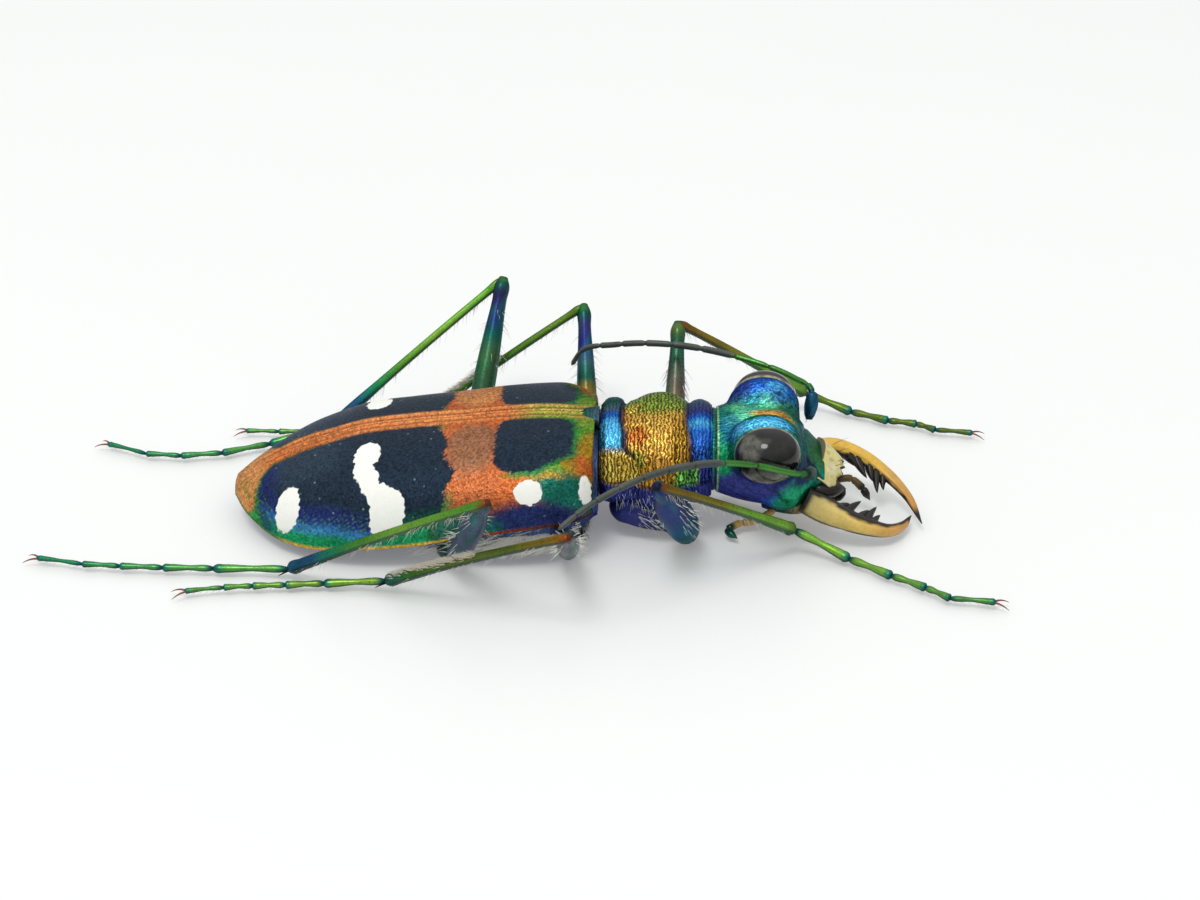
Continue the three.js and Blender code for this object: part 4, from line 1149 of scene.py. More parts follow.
def add_molar(shape, side):
    """The dark inner base of a jaw."""
    rows, sides = 24, 24
    start, end = np.array([6.7, 0.85 * side, 1.62]), np.array([7.95, 0.42 * side, 1.42])
    line, along, share = straight(start, end, rows)
    thick = profile((0, 0.3), (0.2, 0.95), (0.5, 1.0), (0.85, 0.6), (1, 0.15))(share)
    grid, _ = tube(line, along, 0.4 * thick, 0.3 * thick, sides=sides)
    shape.add_grid(grid, PITCH, 1.0, wrap=True, caps=True)


LIP_HALF = 1.06
LIP_LENGTH = 1.02


def make_lip(material):
    """The upper lip: a domed ivory plate whose dark front edge has five teeth."""
    rows, columns = 44, 81
    along = np.linspace(0, 1, rows)[:, None]
    across = np.linspace(-1, 1, columns)[None]
    saw = 1 - np.abs(((across + 1) * 2.5) % 1 - 0.5) * 2
    length = LIP_LENGTH * (0.86 + 0.14 * saw - 0.14 * across**2)
    x = along * length
    y = LIP_HALF * across * (1 - 0.12 * along)
    z = 0.14 * (1 - across**2) * (1 - 0.6 * along) - 0.3 * across**2 + 0.17 * across - 0.12 * along**3
    tilt = math.radians(36)
    upper = np.stack([7.2 + x * math.cos(tilt) + z * math.sin(tilt), y,
                      2.58 - x * math.sin(tilt) + z * math.cos(tilt)], axis=-1)
    out = grid_normals(upper)
    out = out if out[rows // 2, columns // 2, 2] > 0 else -out
    lower = upper - out * 0.16
    grid = np.concatenate([upper, lower[:, ::-1]], axis=1)
    share = np.broadcast_to(along, grid.shape[:2])
    paint = fill(share.shape, IVORY)
    blotch = soft_step(ripple(grid, 0.35, SEED + 3), 0.3, 1.0)
    paint = painted(paint, TAN * 0.6, 0.45 * blotch)
    paint = painted(paint, HAIR_WHITE, 0.3 * soft_step(ripple(grid, 0.6, SEED + 4), 0.2, 1.2))
    front = soft_step(share + 0.03 * ripple(grid, 0.2, SEED), 0.88, 0.95)
    paint = painted(paint, PITCH, front)
    paint = painted(paint, PITCH, 0.85 * soft_step(share, 0.06, 0.02))
    shape = Shape()
    shape.add_grid(grid, paint, 1.0, wrap=True, caps=True)
    return shape.piece("upper_lip", material, "ivory_mouth", ["labrum"])


# Each palp: its side, the points of its line, its number of segments and its colour
PALPS = {
    "maxillary_palp_left": (LEFT, [(7.3, 0.4, 1.05), (7.75, 0.45, 1.2), (8.2, 0.5, 1.25), (8.55, 0.5, 0.98),
                                   (8.9, 0.4, 0.48)], 4, "dark"),
    "maxillary_palp_right": (RIGHT, [(6.75, 0.45, 0.85), (7.25, 0.38, 0.8), (7.75, 0.3, 0.95),
                                     (8.02, 0.22, 1.3)], 3, "dark"),
    "labial_palp_left": (LEFT, [(5.6, 0.8, 0.75), (5.0, 0.95, 0.42), (4.4, 1.15, 0.33), (3.95, 1.45, 0.27)],
                         3, "green"),
    "labial_palp_right": (RIGHT, [(5.7, 0.75, 0.75), (5.1, 0.9, 0.42), (4.5, 1.05, 0.36), (4.2, 1.35, 0.3),
                                  (4.5, 1.75, 0.24)], 4, "green"),
}


def jointed(share, joints, waist=0.62):
    """Along a row of segments: thickness, narrow where two meet, place in a segment and its number."""
    edges = np.asarray(joints)
    i = np.clip(np.searchsorted(edges, share, side="right") - 1, 0, len(edges) - 2)
    local = (share - edges[i]) / (edges[i + 1] - edges[i])
    near_start = soft_step(local, 0.0, 0.18)
    near_end = soft_step(local, 1.0, 0.93)
    return waist + (1 - waist) * np.minimum(near_start, near_end) * (0.86 + 0.14 * local), local, i


def make_palp(name, material):
    """A slim jointed palp, darker over its last third."""
    side, points, segments, kind = PALPS[name]
    rows = 84
    places, tangents = curve_through(np.array(points) * np.array([1, side, 1]), rows)
    share = np.linspace(0, 1, rows)
    thick, local, _ = jointed(share, np.linspace(0, 1, segments + 1))
    radius = 0.12 * thick * (1 + 0.1 * bump_at(share, 0.8, 0.15)) * soft_step(1.02 - share, 0, 0.16)
    grid, _ = tube(places, tangents, radius + 0.004, sides=16)
    tint = TAN if kind == "green" else PITCH * 0.8 + TAN * 0.2
    tip = DEEP_GREEN if kind == "green" else PITCH
    paint = ramp(share, (0, tint), (0.62, tint), (0.7, tip), (1, tip))
    paint = painted(paint, PITCH, soft_step(local, 0.9, 1.0) * 0.7)
    shape = Shape()
    shape.add_grid(grid, np.repeat(paint[:, None], 16, 1), 1.0, wrap=True, caps=True)
    return shape.piece(f"palp_{name}", material, "palps", [name])


def make_under_lip(material):
    """The lower lip and its plate, under the mouth."""
    places = np.linspace(5.3, 6.95, 46)

    def centre(x):
        return np.full(np.shape(x), 0.72)

    def inside(x, y, z):
        main = oval(x, y, z, (6.0, 0.0, 0.78), (1.0, 0.68, 0.36))
        lobe = oval(x, y, z, (6.35, 0.38, 0.72), (0.62, 0.26, 0.3))
        return blended([main, lobe], 0.05)

    grid, _ = ring_surface(places, 64, centre, inside)
    paint = ramp(grid[..., 0], (5.2, INDIGO), (6.0, DEEP_GREEN), (6.9, TAN))
    shape = Shape()
    shape.add_grid(grid, paint, 0.4, wrap=True, caps=True)
    return shape.piece("under_lip", material, "underside", ["labium"])


# Feelers

FEELER_SEGMENTS = [1.0, 0.35, 1.9, 1.35, 1.25, 1.1, 1.0, 0.9, 0.85, 0.8, 0.75]
FEELERS = {
    "right": [(6.8, 1.8, 2.8), (6.3, 3.0, 3.4), (4.66, 3.75, 4.15), (2.99, 4.9, 4.75), (1.3, 6.3, 5.0),
              (-0.35, 7.5, 4.6), (-0.97, 8.05, 4.31)],
    "left": [(6.85, 1.75, 2.75), (6.9, 2.15, 3.65), (6.35, 2.9, 3.7), (4.44, 3.85, 3.97), (2.4, 4.0, 4.3),
             (0.4, 4.35, 4.1), (-0.75, 4.55, 3.75), (-1.12, 4.6, 3.15)],
}


def make_feeler(side_name, side, material):
    """Eleven segments: a stout metallic first one, slim green ones and a dull grey whip, painted lighter
    along its top as a highlight.
    """
    rows, sides = 420, 16
    places, tangents = curve_through(np.array(FEELERS[side_name]) * np.array([1, side, 1]), rows)
    share = np.linspace(0, 1, rows)
    joints = np.concatenate([[0], np.cumsum(FEELER_SEGMENTS)]) / sum(FEELER_SEGMENTS)
    thick, local, segment = jointed(share, joints, 0.68)
    base = np.array([0.2, 0.11, 0.1, 0.1, 0.115, 0.115, 0.11, 0.105, 0.1, 0.09, 0.08])[segment]
    radius = base * thick * np.where(segment == 0, 0.75 + 0.4 * bump_at(local, 0.55, 0.4), 1)
    radius *= np.where(share > 0.985, soft_step(share, 1.004, 0.985), 1)
    grid, angles = tube(places, tangents, radius + 0.003, sides=sides)
    first = INDIGO * 0.6 + TEAL * 0.4 if side == LEFT else PITCH * 0.5 + DEEP_GREEN * 0.5
    green = DEEP_GREEN * 0.4 + LEAF * 0.6
    paint = ramp(share, (0, first), (joints[1], first), (joints[1] + 0.005, DEEP_GREEN), (joints[2], green),
                 (joints[4] - 0.02, green), (joints[4] + 0.02, FEELER_GREY), (1, FEELER_GREY))
    paint = painted(paint, PITCH, soft_step(local, 0.93, 1.0) * 0.8)
    paint = np.repeat(paint[:, None], sides, 1)
    # Painted highlight: the whip's segments are lightened along their top.
    lit = soft_step(np.cos(angles), 0.2, 0.9)[None] * (segment > 3)[:, None]
    paint = painted(paint, EYE_RIM, 0.2 * lit)
    shape = Shape()
    shape.add_grid(grid, paint, 1.0, wrap=True, caps=True)
    nodes = [f"antenna_{side_name}_{part}" for part in ("scape", "base", "whip")]
    return shape.piece(f"feeler_{side_name}", material, "feelers", nodes)


# Legs

LEG_PAIRS = {
    "fore": {"hip": [(0.35, 1.12, 1.14), (2.75, 1.25, 0.6)], "hip_radius": 0.54, "ring": (2.8, 1.3, 0.55),
             "thigh": 0.38, "shin": 0.155},
    "mid": {"hip": [(-0.7, 0.7, 0.7), (-0.85, 2.1, 0.6)], "hip_radius": 0.46, "ring": (-0.87, 2.25, 0.5),
            "thigh": 0.36, "shin": 0.15},
    "hind": {"hip": [(-4.7, 0.55, 0.5), (-5.0, 2.3, 0.5)], "hip_radius": 0.42, "ring": (-5.0, 2.8, 0.42),
             "thigh": 0.4, "shin": 0.155},
}
# Root of the thigh; thigh and shin as heading, rise and length; foot segments as heading and length
LEG_POSES = {
    "fore_right": ((2.9, 1.8, 0.45), (105.6, 45.4, 5.4), (-36, -32, 6.4),
                   [(20, 1.97), (37, 1.6), (33, 1.2), (40, 0.9), (7, 1.4)]),
    "fore_left": ((2.35, 1.8, 0.45), (87.6, 47.6, 5.35), (24, -36.5, 6.25),
                  [(-18, 1.75), (-26, 1.4), (-12, 1.0), (-34, 0.73), (-8, 1.3)]),
    "mid_right": ((-0.93, 3.0, 0.45), (87, 36, 5.4), (-157, -27, 7.1),
                  [(-179, 1.96), (174, 1.2), (175, 1.02), (173, 0.89), (168, 1.2)]),
    "mid_left": ((-0.48, 3.0, 0.45), (94.1, 39.6, 5.66), (-163, -31, 6.98),
                 [(-168, 1.95), (-168, 1.18), (-174, 0.96), (180, 0.86), (179, 1.15)]),
    "hind_right": ((-4.42, 4.0, 0.8), (68.3, 47.5, 5.42), (-154, -31.3, 8.6),
                   [(-178, 2.42), (180, 1.61), (-178, 1.38), (-176, 1.21), (-168, 1.55)]),
    "hind_left": ((-4.42, 4.0, 0.8), (76.4, 50.5, 5.5), (-153.8, -33.8, 7.79),
                  [(-165, 2.28), (-156, 1.68), (-170, 1.4), (175, 1.22), (156, 1.6)]),
}
FOOT_HEIGHT = 0.25  # axis of the foot above the floor
THIGH_BOW = 0.05
SHIN_BOW = 0.07
LIMB_CLEARANCE = 0.01  # the lowest that a hip, a ring or a spur reaches above the floor
# Paint along each thigh, as stops of share and colour; a leg without its own takes its pair's
THIGH_PAINTS = {
    "fore": [(0, DEEP_GREEN), (0.2, SLATE), (0.4, AMBER * 0.6 + DEEP_GREEN * 0.4),
             (0.55, AMBER * 0.3 + SLATE * 0.5), (0.85, DEEP_GREEN), (1, OLIVE * 0.6)],
    "mid": [(0, AMBER * 0.8), (0.4, AMBER * 0.8), (0.5, DEEP_GREEN), (0.6, SLATE * 0.7 + TEAL * 0.3),
            (0.72, INDIGO), (0.86, VIOLET * 0.7), (0.93, DEEP_GREEN), (1, LEAF * 0.8)],
    "hind": [(0, DEEP_GREEN), (0.5, DEEP_GREEN * 0.7 + OLIVE * 0.2), (0.62, TEAL * 0.6), (0.72, INDIGO * 0.7),
             (0.88, VIOLET * 0.5), (0.96, DEEP_GREEN), (1, LEAF)],
    "fore_right": [(0, PITCH), (0.07, DEEP_GREEN), (0.16, TEAL * 0.9), (0.35, TEAL * 0.6 + ROYAL * 0.35),
                   (0.6, SLATE * 0.5 + INDIGO * 0.5), (1, INDIGO * 0.6)],
    "mid_right": [(0, PITCH), (0.2, DEEP_GREEN * 0.3), (0.5, INK * 0.4), (0.8, SLATE * 0.25), (1, PITCH)],
    "hind_right": [(0, DEEP_GREEN), (0.15, SLATE), (0.94, SLATE * 0.8), (1, PITCH)],
}
SHIN_PAINTS = {
    "fore": [(0, RUST * 0.5), (0.06, AMBER * 0.6), (0.45, AMBER * 0.4 + OLIVE * 0.5), (0.6, LIME * 0.75),
             (0.9, LIME * 0.8), (1, PITCH)],
    "mid": [(0, RUST * 0.6), (0.06, AMBER * 0.7), (0.3, OLIVE * 0.5), (0.6, OLIVE * 0.5),
            (0.85, LEAF * 0.5), (0.97, TEAL * 0.7), (1, PITCH)],
    "mid_left": [(0, LEAF * 0.5), (0.1, LEAF * 0.5 + AMBER * 0.15), (0.5, LEAF * 0.6), (0.85, LEAF * 0.5),
                 (0.97, TEAL * 0.6), (1, PITCH)],
    "hind": [(0, RUST * 0.5), (0.06, LEAF), (0.4, LIME * 0.7), (0.6, LEAF * 0.8), (0.75, EMERALD * 0.6),
             (0.86, INDIGO * 0.6 + TEAL * 0.3), (0.97, INDIGO * 0.5 + TEAL * 0.4), (1, PITCH)],
}
KNEE_TINTS = {"fore_right": PITCH, "mid_right": RUST * 0.3, "hind_right": RUST * 0.3}
FAR_KNEE_TINT = DEEP_GREEN * 0.6
# Colours of a foot at the shin and at the claws
FOOT_TONES = {
    "fore": (LIME * 0.8, EMERALD * 0.4 + OLIVE * 0.2),
    "fore_left": (OLIVE * 0.5 + LEAF * 0.2, OLIVE * 0.4),
    "mid": (LIME * 0.5 + OLIVE * 0.4, LEAF * 0.5 + TEAL * 0.3),
    "hind": (LIME * 0.4 + EMERALD * 0.35, EMERALD * 0.4 + TEAL * 0.35),
}
# Thickness along a hip and along a thigh, as a share of the greatest one
HIP_THICKNESS = profile((0, 0.2), (0.03, 0.5), (0.1, 0.82), (0.3, 1.0), (0.7, 0.95), (0.93, 0.7), (1, 0.25))
SLIM_KNEE = profile((0, 0.5), (0.06, 0.8), (0.16, 1.0), (0.34, 1.04), (0.62, 0.98), (0.86, 0.5), (0.95, 0.48),
                    (1, 0.26))
STRONG_KNEE = profile((0, 0.5), (0.06, 0.8), (0.14, 1.0), (0.32, 1.06), (0.6, 0.9), (0.86, 0.68), (0.95, 0.7),
                      (1, 0.4))


class Leg:
    """Joints and directions of one leg, worked out from its pair's measures and its pose."""

    def __init__(self, name):
        pair_name, side_name = name.split("_")
        self.name = name
        self.pair_name = pair_name
        self.stout = 1.4 if name == "fore_right" else 1.0
        self.thickness = SLIM_KNEE if side_name == "right" else STRONG_KNEE
        self.side = LEFT if side_name == "left" else RIGHT
        self.pair = LEG_PAIRS[pair_name]
        mirror = np.array([1, self.side, 1])
        root, thigh, shin, foot = LEG_POSES[name]
        self.hip = [np.array(point) * mirror for point in self.pair["hip"]]
        self.ring = np.array(self.pair["ring"]) * mirror
        self.root = np.array(root) * mirror
        self.knee = self.root + direction(thigh[0], thigh[1], self.side) * thigh[2]
        self.ankle = self.knee + direction(shin[0], shin[1], self.side) * shin[2]
        self.toes = [self.ankle]
        for heading, length in foot:
            start = self.toes[-1]
            reach = math.sqrt(length**2 - (start[2] - FOOT_HEIGHT) ** 2)
            end = start + direction(heading, 0, self.side) * reach
            end[2] = FOOT_HEIGHT
            self.toes.append(end)


def shaded_below(paint, angles):
    """Darkens the lower half of a limb's paint, which leaves a bright stripe along its top."""
    shadow = soft_step(np.cos(angles), 0.3, -0.25)[None]
    return painted(paint, DEEP_GREEN * 0.35, 0.8 * shadow)


def straight(start, end, rows, sag=0.0):
    """Places on a line that bows up by sag at its middle, and the tangents there."""
    share = np.linspace(0, 1, rows)
    line = start + np.outer(share, end - start)
    line[:, 2] += bow(share, sag)
    return line, unit(np.gradient(line, axis=0)), share


def make_upper_leg(leg, material):
    """Hip, ring and thigh, each rounded where it turns in the next."""
    shape = Shape()
    line, along, share = straight(leg.hip[0], leg.hip[1] + unit(leg.hip[1] - leg.hip[0]) * 0.1, 40)
    grid, _ = tube(line, along, leg.pair["hip_radius"] * HIP_THICKNESS(share), sides=40)
    keep_above(grid, LIMB_CLEARANCE)
    paint = ramp(share, (0, INDIGO * 0.8), (0.5, VIOLET * 0.8), (0.8, DEEP_GREEN * 0.5), (1, PITCH))
    shape.add_grid(grid, np.repeat(paint[:, None], 40, 1), 0.6, wrap=True, caps=True)
    heading = unit(leg.knee - leg.root)
    line, along, share = straight(leg.ring, leg.root + heading * 0.25, 30)
    radius = 0.3 * profile((0, 0.55), (0.3, 1.0), (0.75, 1.0), (1, 0.6))(share)
    grid, _ = tube(line, along, radius, sides=28)
    keep_above(grid, LIMB_CLEARANCE)
    shape.add_grid(grid, DEEP_GREEN * 0.5 + PITCH * 0.5, 0.6, wrap=True, caps=True)
    rows, sides = 120, 36
    line, along, share = straight(leg.root - heading * 0.12, leg.knee + heading * 0.06, rows, THIGH_BOW)
    radius = leg.pair["thigh"] * leg.stout * leg.thickness(share)
    grid, angles = tube(line, along, radius * 0.92, radius * 1.04, sides=sides)
    tones = THIGH_PAINTS.get(leg.name, THIGH_PAINTS[leg.pair_name])
    paint = np.repeat(ramp(share, *tones)[:, None], sides, 1)
    places = np.stack(np.broadcast_arrays(share[:, None] * 5, angles), axis=-1)
    streak = soft_step(ripple(places, 1.6, SEED + len(leg.name)), 0.0, 1.0)
    paint = painted(paint, EMERALD, 0.2 * streak)
    knee_tint = KNEE_TINTS.get(leg.name, FAR_KNEE_TINT)
    paint = painted(paint, knee_tint, 0.75 * soft_step(share, 0.965, 1.0)[:, None])
    shape.add_grid(grid, paint, 0.5, wrap=True, caps=True)
    nodes = [f"{part}_{leg.name}" for part in ("coxa", "trochanter", "femur")]
    return shape.piece(f"upper_leg_{leg.name}", material, "upper_legs", nodes)


def make_lower_leg(leg, material):
    """Shin with its spurs, five foot segments and two claws."""
    shape = Shape()
    add_shin(shape, leg)
    add_foot(shape, leg)
    nodes = [f"{part}_{leg.name}" for part in ("tibia", "tarsus")]
    return shape.piece(f"lower_leg_{leg.name}", material, "lower_legs", nodes)


def add_shin(shape, leg):
    """A slim shin with four faint facets, and two spurs at its end."""
    rows, sides = 130, 24
    line, along, share = straight(leg.knee, leg.ankle, rows, SHIN_BOW)
    thick = profile((0, 0.72), (0.03, 1.05), (0.08, 0.95), (0.3, 0.92), (0.7, 1.02), (0.93, 1.25),
                    (0.985, 1.2), (1, 0.7))(share)
    grid, angles = tube(line, along, leg.pair["shin"] * thick, sides=sides)
    facet = 1 + 0.07 * np.cos(angles * 4)[None, :, None]
    grid = line[:, None] + (grid - line[:, None]) * facet
    tones = SHIN_PAINTS.get(leg.name, SHIN_PAINTS[leg.pair_name])
    paint = np.repeat(ramp(share, *tones)[:, None], sides, 1)
    shape.add_grid(grid, shaded_below(paint, angles), 0.5, wrap=True, caps=True)
    end = unit(leg.ankle - leg.knee)
    across = level_across(end)
    for sign, length in ((1, 0.5), (-1, 0.4)):
        root = leg.ankle - end * 0.16 + across * sign * 0.08
        lean = unit(end + across * sign * 0.4)
        spur = cone(root, lean, length, 0.04, bend=(0, 0, -0.03), sides=8, rings=7)
        keep_above(spur, LIMB_CLEARANCE)
        shape.add_grid(spur, PITCH, 1.0, wrap=True, caps=True)


def add_foot(shape, leg):
    """Five segments, each widest near its end, and two brown claws."""
    stout = 1.2 if leg.pair_name == "fore" else 1.0
    radii = [0.135, 0.12, 0.11, 0.1, 0.085]
    sides = 18
    for i, radius in enumerate(radii):
        radius = radius * stout
        start, end = leg.toes[i], leg.toes[i + 1]
        along = unit(end - start)
        line, tangents, share = straight(start - along * 0.03, end + along * 0.02, 40, 0.02)
        thick = profile((0, 0.45), (0.06, 0.72), (0.5, 0.74), (0.85, 1.05), (0.96, 1.0), (1, 0.5))(share)
        grid, angles = tube(line, tangents, radius * thick, radius * thick * 0.94, sides=sides)
        keep_above(grid, 0.0)
        nearer, farther = FOOT_TONES.get(leg.name, FOOT_TONES[leg.pair_name])
        tone = nearer * (1 - i / 5) + farther * (i / 5)
        paint = ramp(share, (0, PITCH), (0.08, TEAL * 0.5), (0.2, tone), (0.82, tone), (0.95, TEAL),
                     (1, PITCH))
        paint = shaded_below(np.repeat(paint[:, None], sides, 1), angles)
        shape.add_grid(grid, paint, 0.6, wrap=True, caps=True)
    along = unit(leg.toes[-1] - leg.toes[-2])
    across = level_across(along)
    for sign in (1, -1):
        root = leg.toes[-1] - along * 0.05 + across * sign * 0.03
        lean = unit(along + across * sign * 0.55 + np.array([0, 0, 0.25]))
        bend = across * -sign * 0.06 + np.array([0, 0, -0.24])
        claw = cone(root, lean, 0.56, 0.035, bend=bend, sides=8, rings=9)
        keep_above(claw, 0.005)
        shape.add_grid(claw, CLAW_BROWN, 1.0, wrap=True, caps=True)


# Bristles and hairs


# Hairs of each pair's thighs: their number and where along the thigh they start and end
THIGH_HAIRS = {"fore": (60, 0.08, 0.75), "mid": (64, 0.02, 0.8), "hind": (44, 0.02, 0.8)}
HIP_HAIRS = 210
BRUSH_HAIRS = 700
FLANK_HAIRS = 1300
RING_HAIRS = 90
ROOT_PATCH = 0.003  # size of a hair's patch on its skin's map


class Coat:
    """Bristles on one skin: each is a thin bent spine with its root on the skin's own map."""

    def __init__(self):
        self.shape = Shape()

    def hair(self, root, along, length, radius, bend, colour, place):
        """One strand from its root; place is where that root lies on the skin's map."""
        rings, sides = 4, 3
        share = np.linspace(0, 1, rings)
        line = root + np.outer(share * length, along) + np.outer(share**2, bend)
        keep_above(line, 0.02)
        tangents = unit(np.gradient(line, axis=0))
        helper = UP if abs(along[2]) < 0.9 else np.array([1.0, 0, 0])
        grid, _ = tube(line, tangents, radius * (1 - 0.85 * share), sides=sides, up=helper)
        faces = grid_faces(rings, sides, True)
        faces.append((0, 2, 1))
        last = (rings - 1) * sides
        faces.append((last, last + 1, last + 2))
        spots = np.stack(np.meshgrid(share, np.arange(sides) / sides, indexing="ij"), axis=-1).reshape(-1, 2)
        self.shape.add(grid, faces, colour, 1.0, np.array(place) + ROOT_PATCH * spots)

    def piece(self, name, slot, material):
        return self.shape.piece(name, material, slot, [])


def leg_coat(leg, settings, material):
    """Rows of stiff bristles on shin and foot, and soft white hairs on hip and thigh."""
    rng = np.random.default_rng(SEED + sum(map(ord, leg.name)))
    coat = Coat()
    end = unit(leg.ankle - leg.knee)
    across = level_across(end)
    rise = np.cross(end, across)
    shin_length = np.linalg.norm(leg.ankle - leg.knee)
    turns = [150, 205, 245, 115] if leg.pair_name != "fore" else [180, 215]
    for row, turn in enumerate(turns):
        steps = int(settings.shin_bristles * shin_length * (1.0 if row < 2 else 0.5))
        for _ in range(steps):
            share = rng.uniform(0.06, 0.96)
            angle = math.radians(turn + rng.uniform(-14, 14))
            out = spoke(across, rise, angle)
            root = leg.knee + end * share * shin_length + out * leg.pair["shin"] * 0.9
            root[2] += bow(share, SHIN_BOW)
            length = settings.bristle_length * rng.uniform(0.6, 1.3) * (1.25 if row < 2 else 0.8)
            lean = unit(out * 0.75 + end * rng.uniform(0.5, 0.9))
            coat.hair(root, lean, length, 0.0085, end * 0.04, HAIR_WHITE * 0.8,
                      (0.05 + 0.9 * share, (turn % 360) / 380))
    if leg.pair_name == "mid":
        add_brush(coat, leg, end, across, rise, shin_length, rng)
    for i in range(5):
        start, stop = leg.toes[i], leg.toes[i + 1]
        along = unit(stop - start)
        sideways = level_across(along)
        for k in range(6):
            for sign in (1, -1):
                share = (k + 0.5) / 6
                root = start + (stop - start) * share + sideways * sign * 0.07 - np.array([0, 0, 0.04])
                lean = unit(along + sideways * sign * 0.5 + np.array([0, 0, -0.35]))
                coat.hair(root, lean, 0.16 * rng.uniform(0.7, 1.2), 0.009, (0, 0, 0),
                          HAIR_WHITE * 0.5 + TAN * 0.5, (0.02 + 0.18 * (i + share) / 5, 0.9 + 0.03 * sign))
    add_thigh_hairs(coat, leg, settings, rng)
    return coat.piece(f"bristles_{leg.name}", "lower_legs", material)


def add_brush(coat, leg, end, across, rise, shin_length, rng):
    """The close cream brush along the outer half of the middle shin."""
    for _ in range(BRUSH_HAIRS):
        share = rng.uniform(0.48, 0.95)
        angle = math.radians(rng.normal(0, 24))
        out = spoke(across, rise, angle)
        root = leg.knee + end * share * shin_length + out * leg.pair["shin"] * 0.95
        root[2] += bow(share, SHIN_BOW)
        lean = unit(out * 0.8 + end)
        coat.hair(root, lean, rng.uniform(0.14, 0.26), 0.013, (0, 0, 0), HAIR_WHITE * 0.7 + TAN * 0.3,
                  (0.05 + 0.9 * share, 0.8 + 0.05 * math.sin(angle)))


def add_thigh_hairs(coat, leg, settings, rng):
    """White hairs on both sides of the thigh, lying back, and over the outside of the hip."""
    heading = unit(leg.knee - leg.root)
    across = level_across(heading)
    rise = np.cross(heading, across)
    length = np.linalg.norm(leg.knee - leg.root)
    count, first, last = THIGH_HAIRS[leg.pair_name]
    lie, width = (1.4, 0.015) if leg.pair_name == "fore" else (0.65, 0.01)
    for _ in range(int(count * settings.hair_density)):
        share = rng.uniform(first, last)
        turn = rng.choice([-1, 1]) * rng.normal(95, 25)
        out = spoke(across, rise, math.radians(turn))
        reach = leg.pair["thigh"] * leg.stout * leg.thickness(share) * 0.95
        root = leg.root + heading * share * length + out * reach
        root[2] += bow(share, THIGH_BOW)
        lean = unit(out * 0.8 - heading * lie * rng.uniform(0.6, 1.4))
        coat.hair(root, lean, rng.uniform(0.25, 0.48), width, heading * -0.05, HAIR_WHITE,
                  (0.1 + 0.8 * share, 0.5 + 0.3 * turn / 180))
    hip_along = unit(leg.hip[1] - leg.hip[0])
    for _ in range(int(HIP_HAIRS * settings.hair_density)):
        share = rng.uniform(0.25, 1.0)
        out = unit(rng.normal(size=3) * np.array([1, 0.8, 0.7]) + np.array([0.3, leg.side * 0.9, 0.2]))
        out = unit(out - hip_along * (out @ hip_along) * 0.8)
        root = leg.hip[0] + (leg.hip[1] - leg.hip[0]) * share + out * leg.pair["hip_radius"] * 0.86
        lean = unit(out * 0.45 + hip_along + rng.normal(size=3) * 0.15)
        coat.hair(root, lean, rng.uniform(0.28, 0.6), 0.013, (0, 0, -0.06), HAIR_WHITE,
                  (rng.uniform(0.02, 0.98), 0.02 + 0.1 * share))


def flank_coat(side_name, side, settings, material):
    """White hair lying back over the side of the thorax and the hind hip."""
    rng = np.random.default_rng(SEED + 40 + side)
    coat = Coat()
    for _ in range(int(FLANK_HAIRS * settings.hair_density)):
        s = rng.beta(1.3, 2.2) * 5.6 + 0.5
        height = rng.uniform(0.2, 0.95)
        z = TRUNK_BOTTOM(s) + (WING_MARGIN(s) - TRUNK_BOTTOM(s)) * height
        y = (WING_WIDTH(s) - 0.22 - 0.35 * soft_step(s, 5.2, 6.2)) * (0.9 + 0.1 * height)
        lean = unit(np.array([-1.0, side * rng.uniform(0.2, 0.45), rng.uniform(-0.35, 0.15)]))
        root = np.array([-s, y * side * 0.985, z])
        coat.hair(root, lean, rng.uniform(0.35, 0.75), 0.014, (0, 0, -0.05), HAIR_WHITE, (s / 7, height))
    return coat.piece(f"flank_hairs_{side_name}", "underside", material)


def face_coat(material):
    """Single long touch hairs on face, neck and first ring."""
    rng = np.random.default_rng(SEED + 60)
    coat = Coat()
    spots = [((6.7, 1.1, 3.0), (0.4, 0.3, 0.9), 0.5), ((7.6, 0.7, 2.4), (0.9, 0.2, 0.5), 0.55),
             ((7.7, 0.3, 2.35), (0.95, 0.05, 0.45), 0.5), ((4.7, 0.95, 4.15), (0.1, 0.2, 1.0), 0.4),
             ((5.9, 0.95, 4.25), (0.3, 0.2, 1.0), 0.4), ((3.4, 1.4, 1.5), (0.4, 0.8, -0.2), 0.4)]
    for k, (root, lean, length) in enumerate(spots):
        for side in (LEFT, RIGHT):
            mirror = np.array([1, side, 1])
            coat.hair(np.array(root) * mirror, unit(np.array(lean) * mirror), length, 0.011,
                      np.array([0.05, 0, -0.04]), HAIR_DARK, (0.1 + 0.12 * k, 0.5 + 0.2 * side))
    for side in (LEFT, RIGHT):
        for _ in range(RING_HAIRS):
            x = rng.uniform(0.5, 3.2)
            z = rng.uniform(1.2, 2.1)
            low = (RING_MIDDLE - z) / (RING_MIDDLE - RING_BOTTOM(x))
            width = RING_WIDTH(x) * (1 - low**RING_SQUARENESS) ** (1 / RING_SQUARENESS)
            lean = unit(np.array([rng.uniform(-0.3, 0.5), side, rng.uniform(-0.6, 0.1)]))
            coat.hair(np.array([x, width * side * 0.985, z]), lean, rng.uniform(0.2, 0.4), 0.009,
                      (0, 0, -0.06), HAIR_WHITE, (0.05 + 0.25 * x, 0.1 + 0.1 * z))
    return coat.piece("face_and_ring_hairs", "head_plate", material)


# Stage

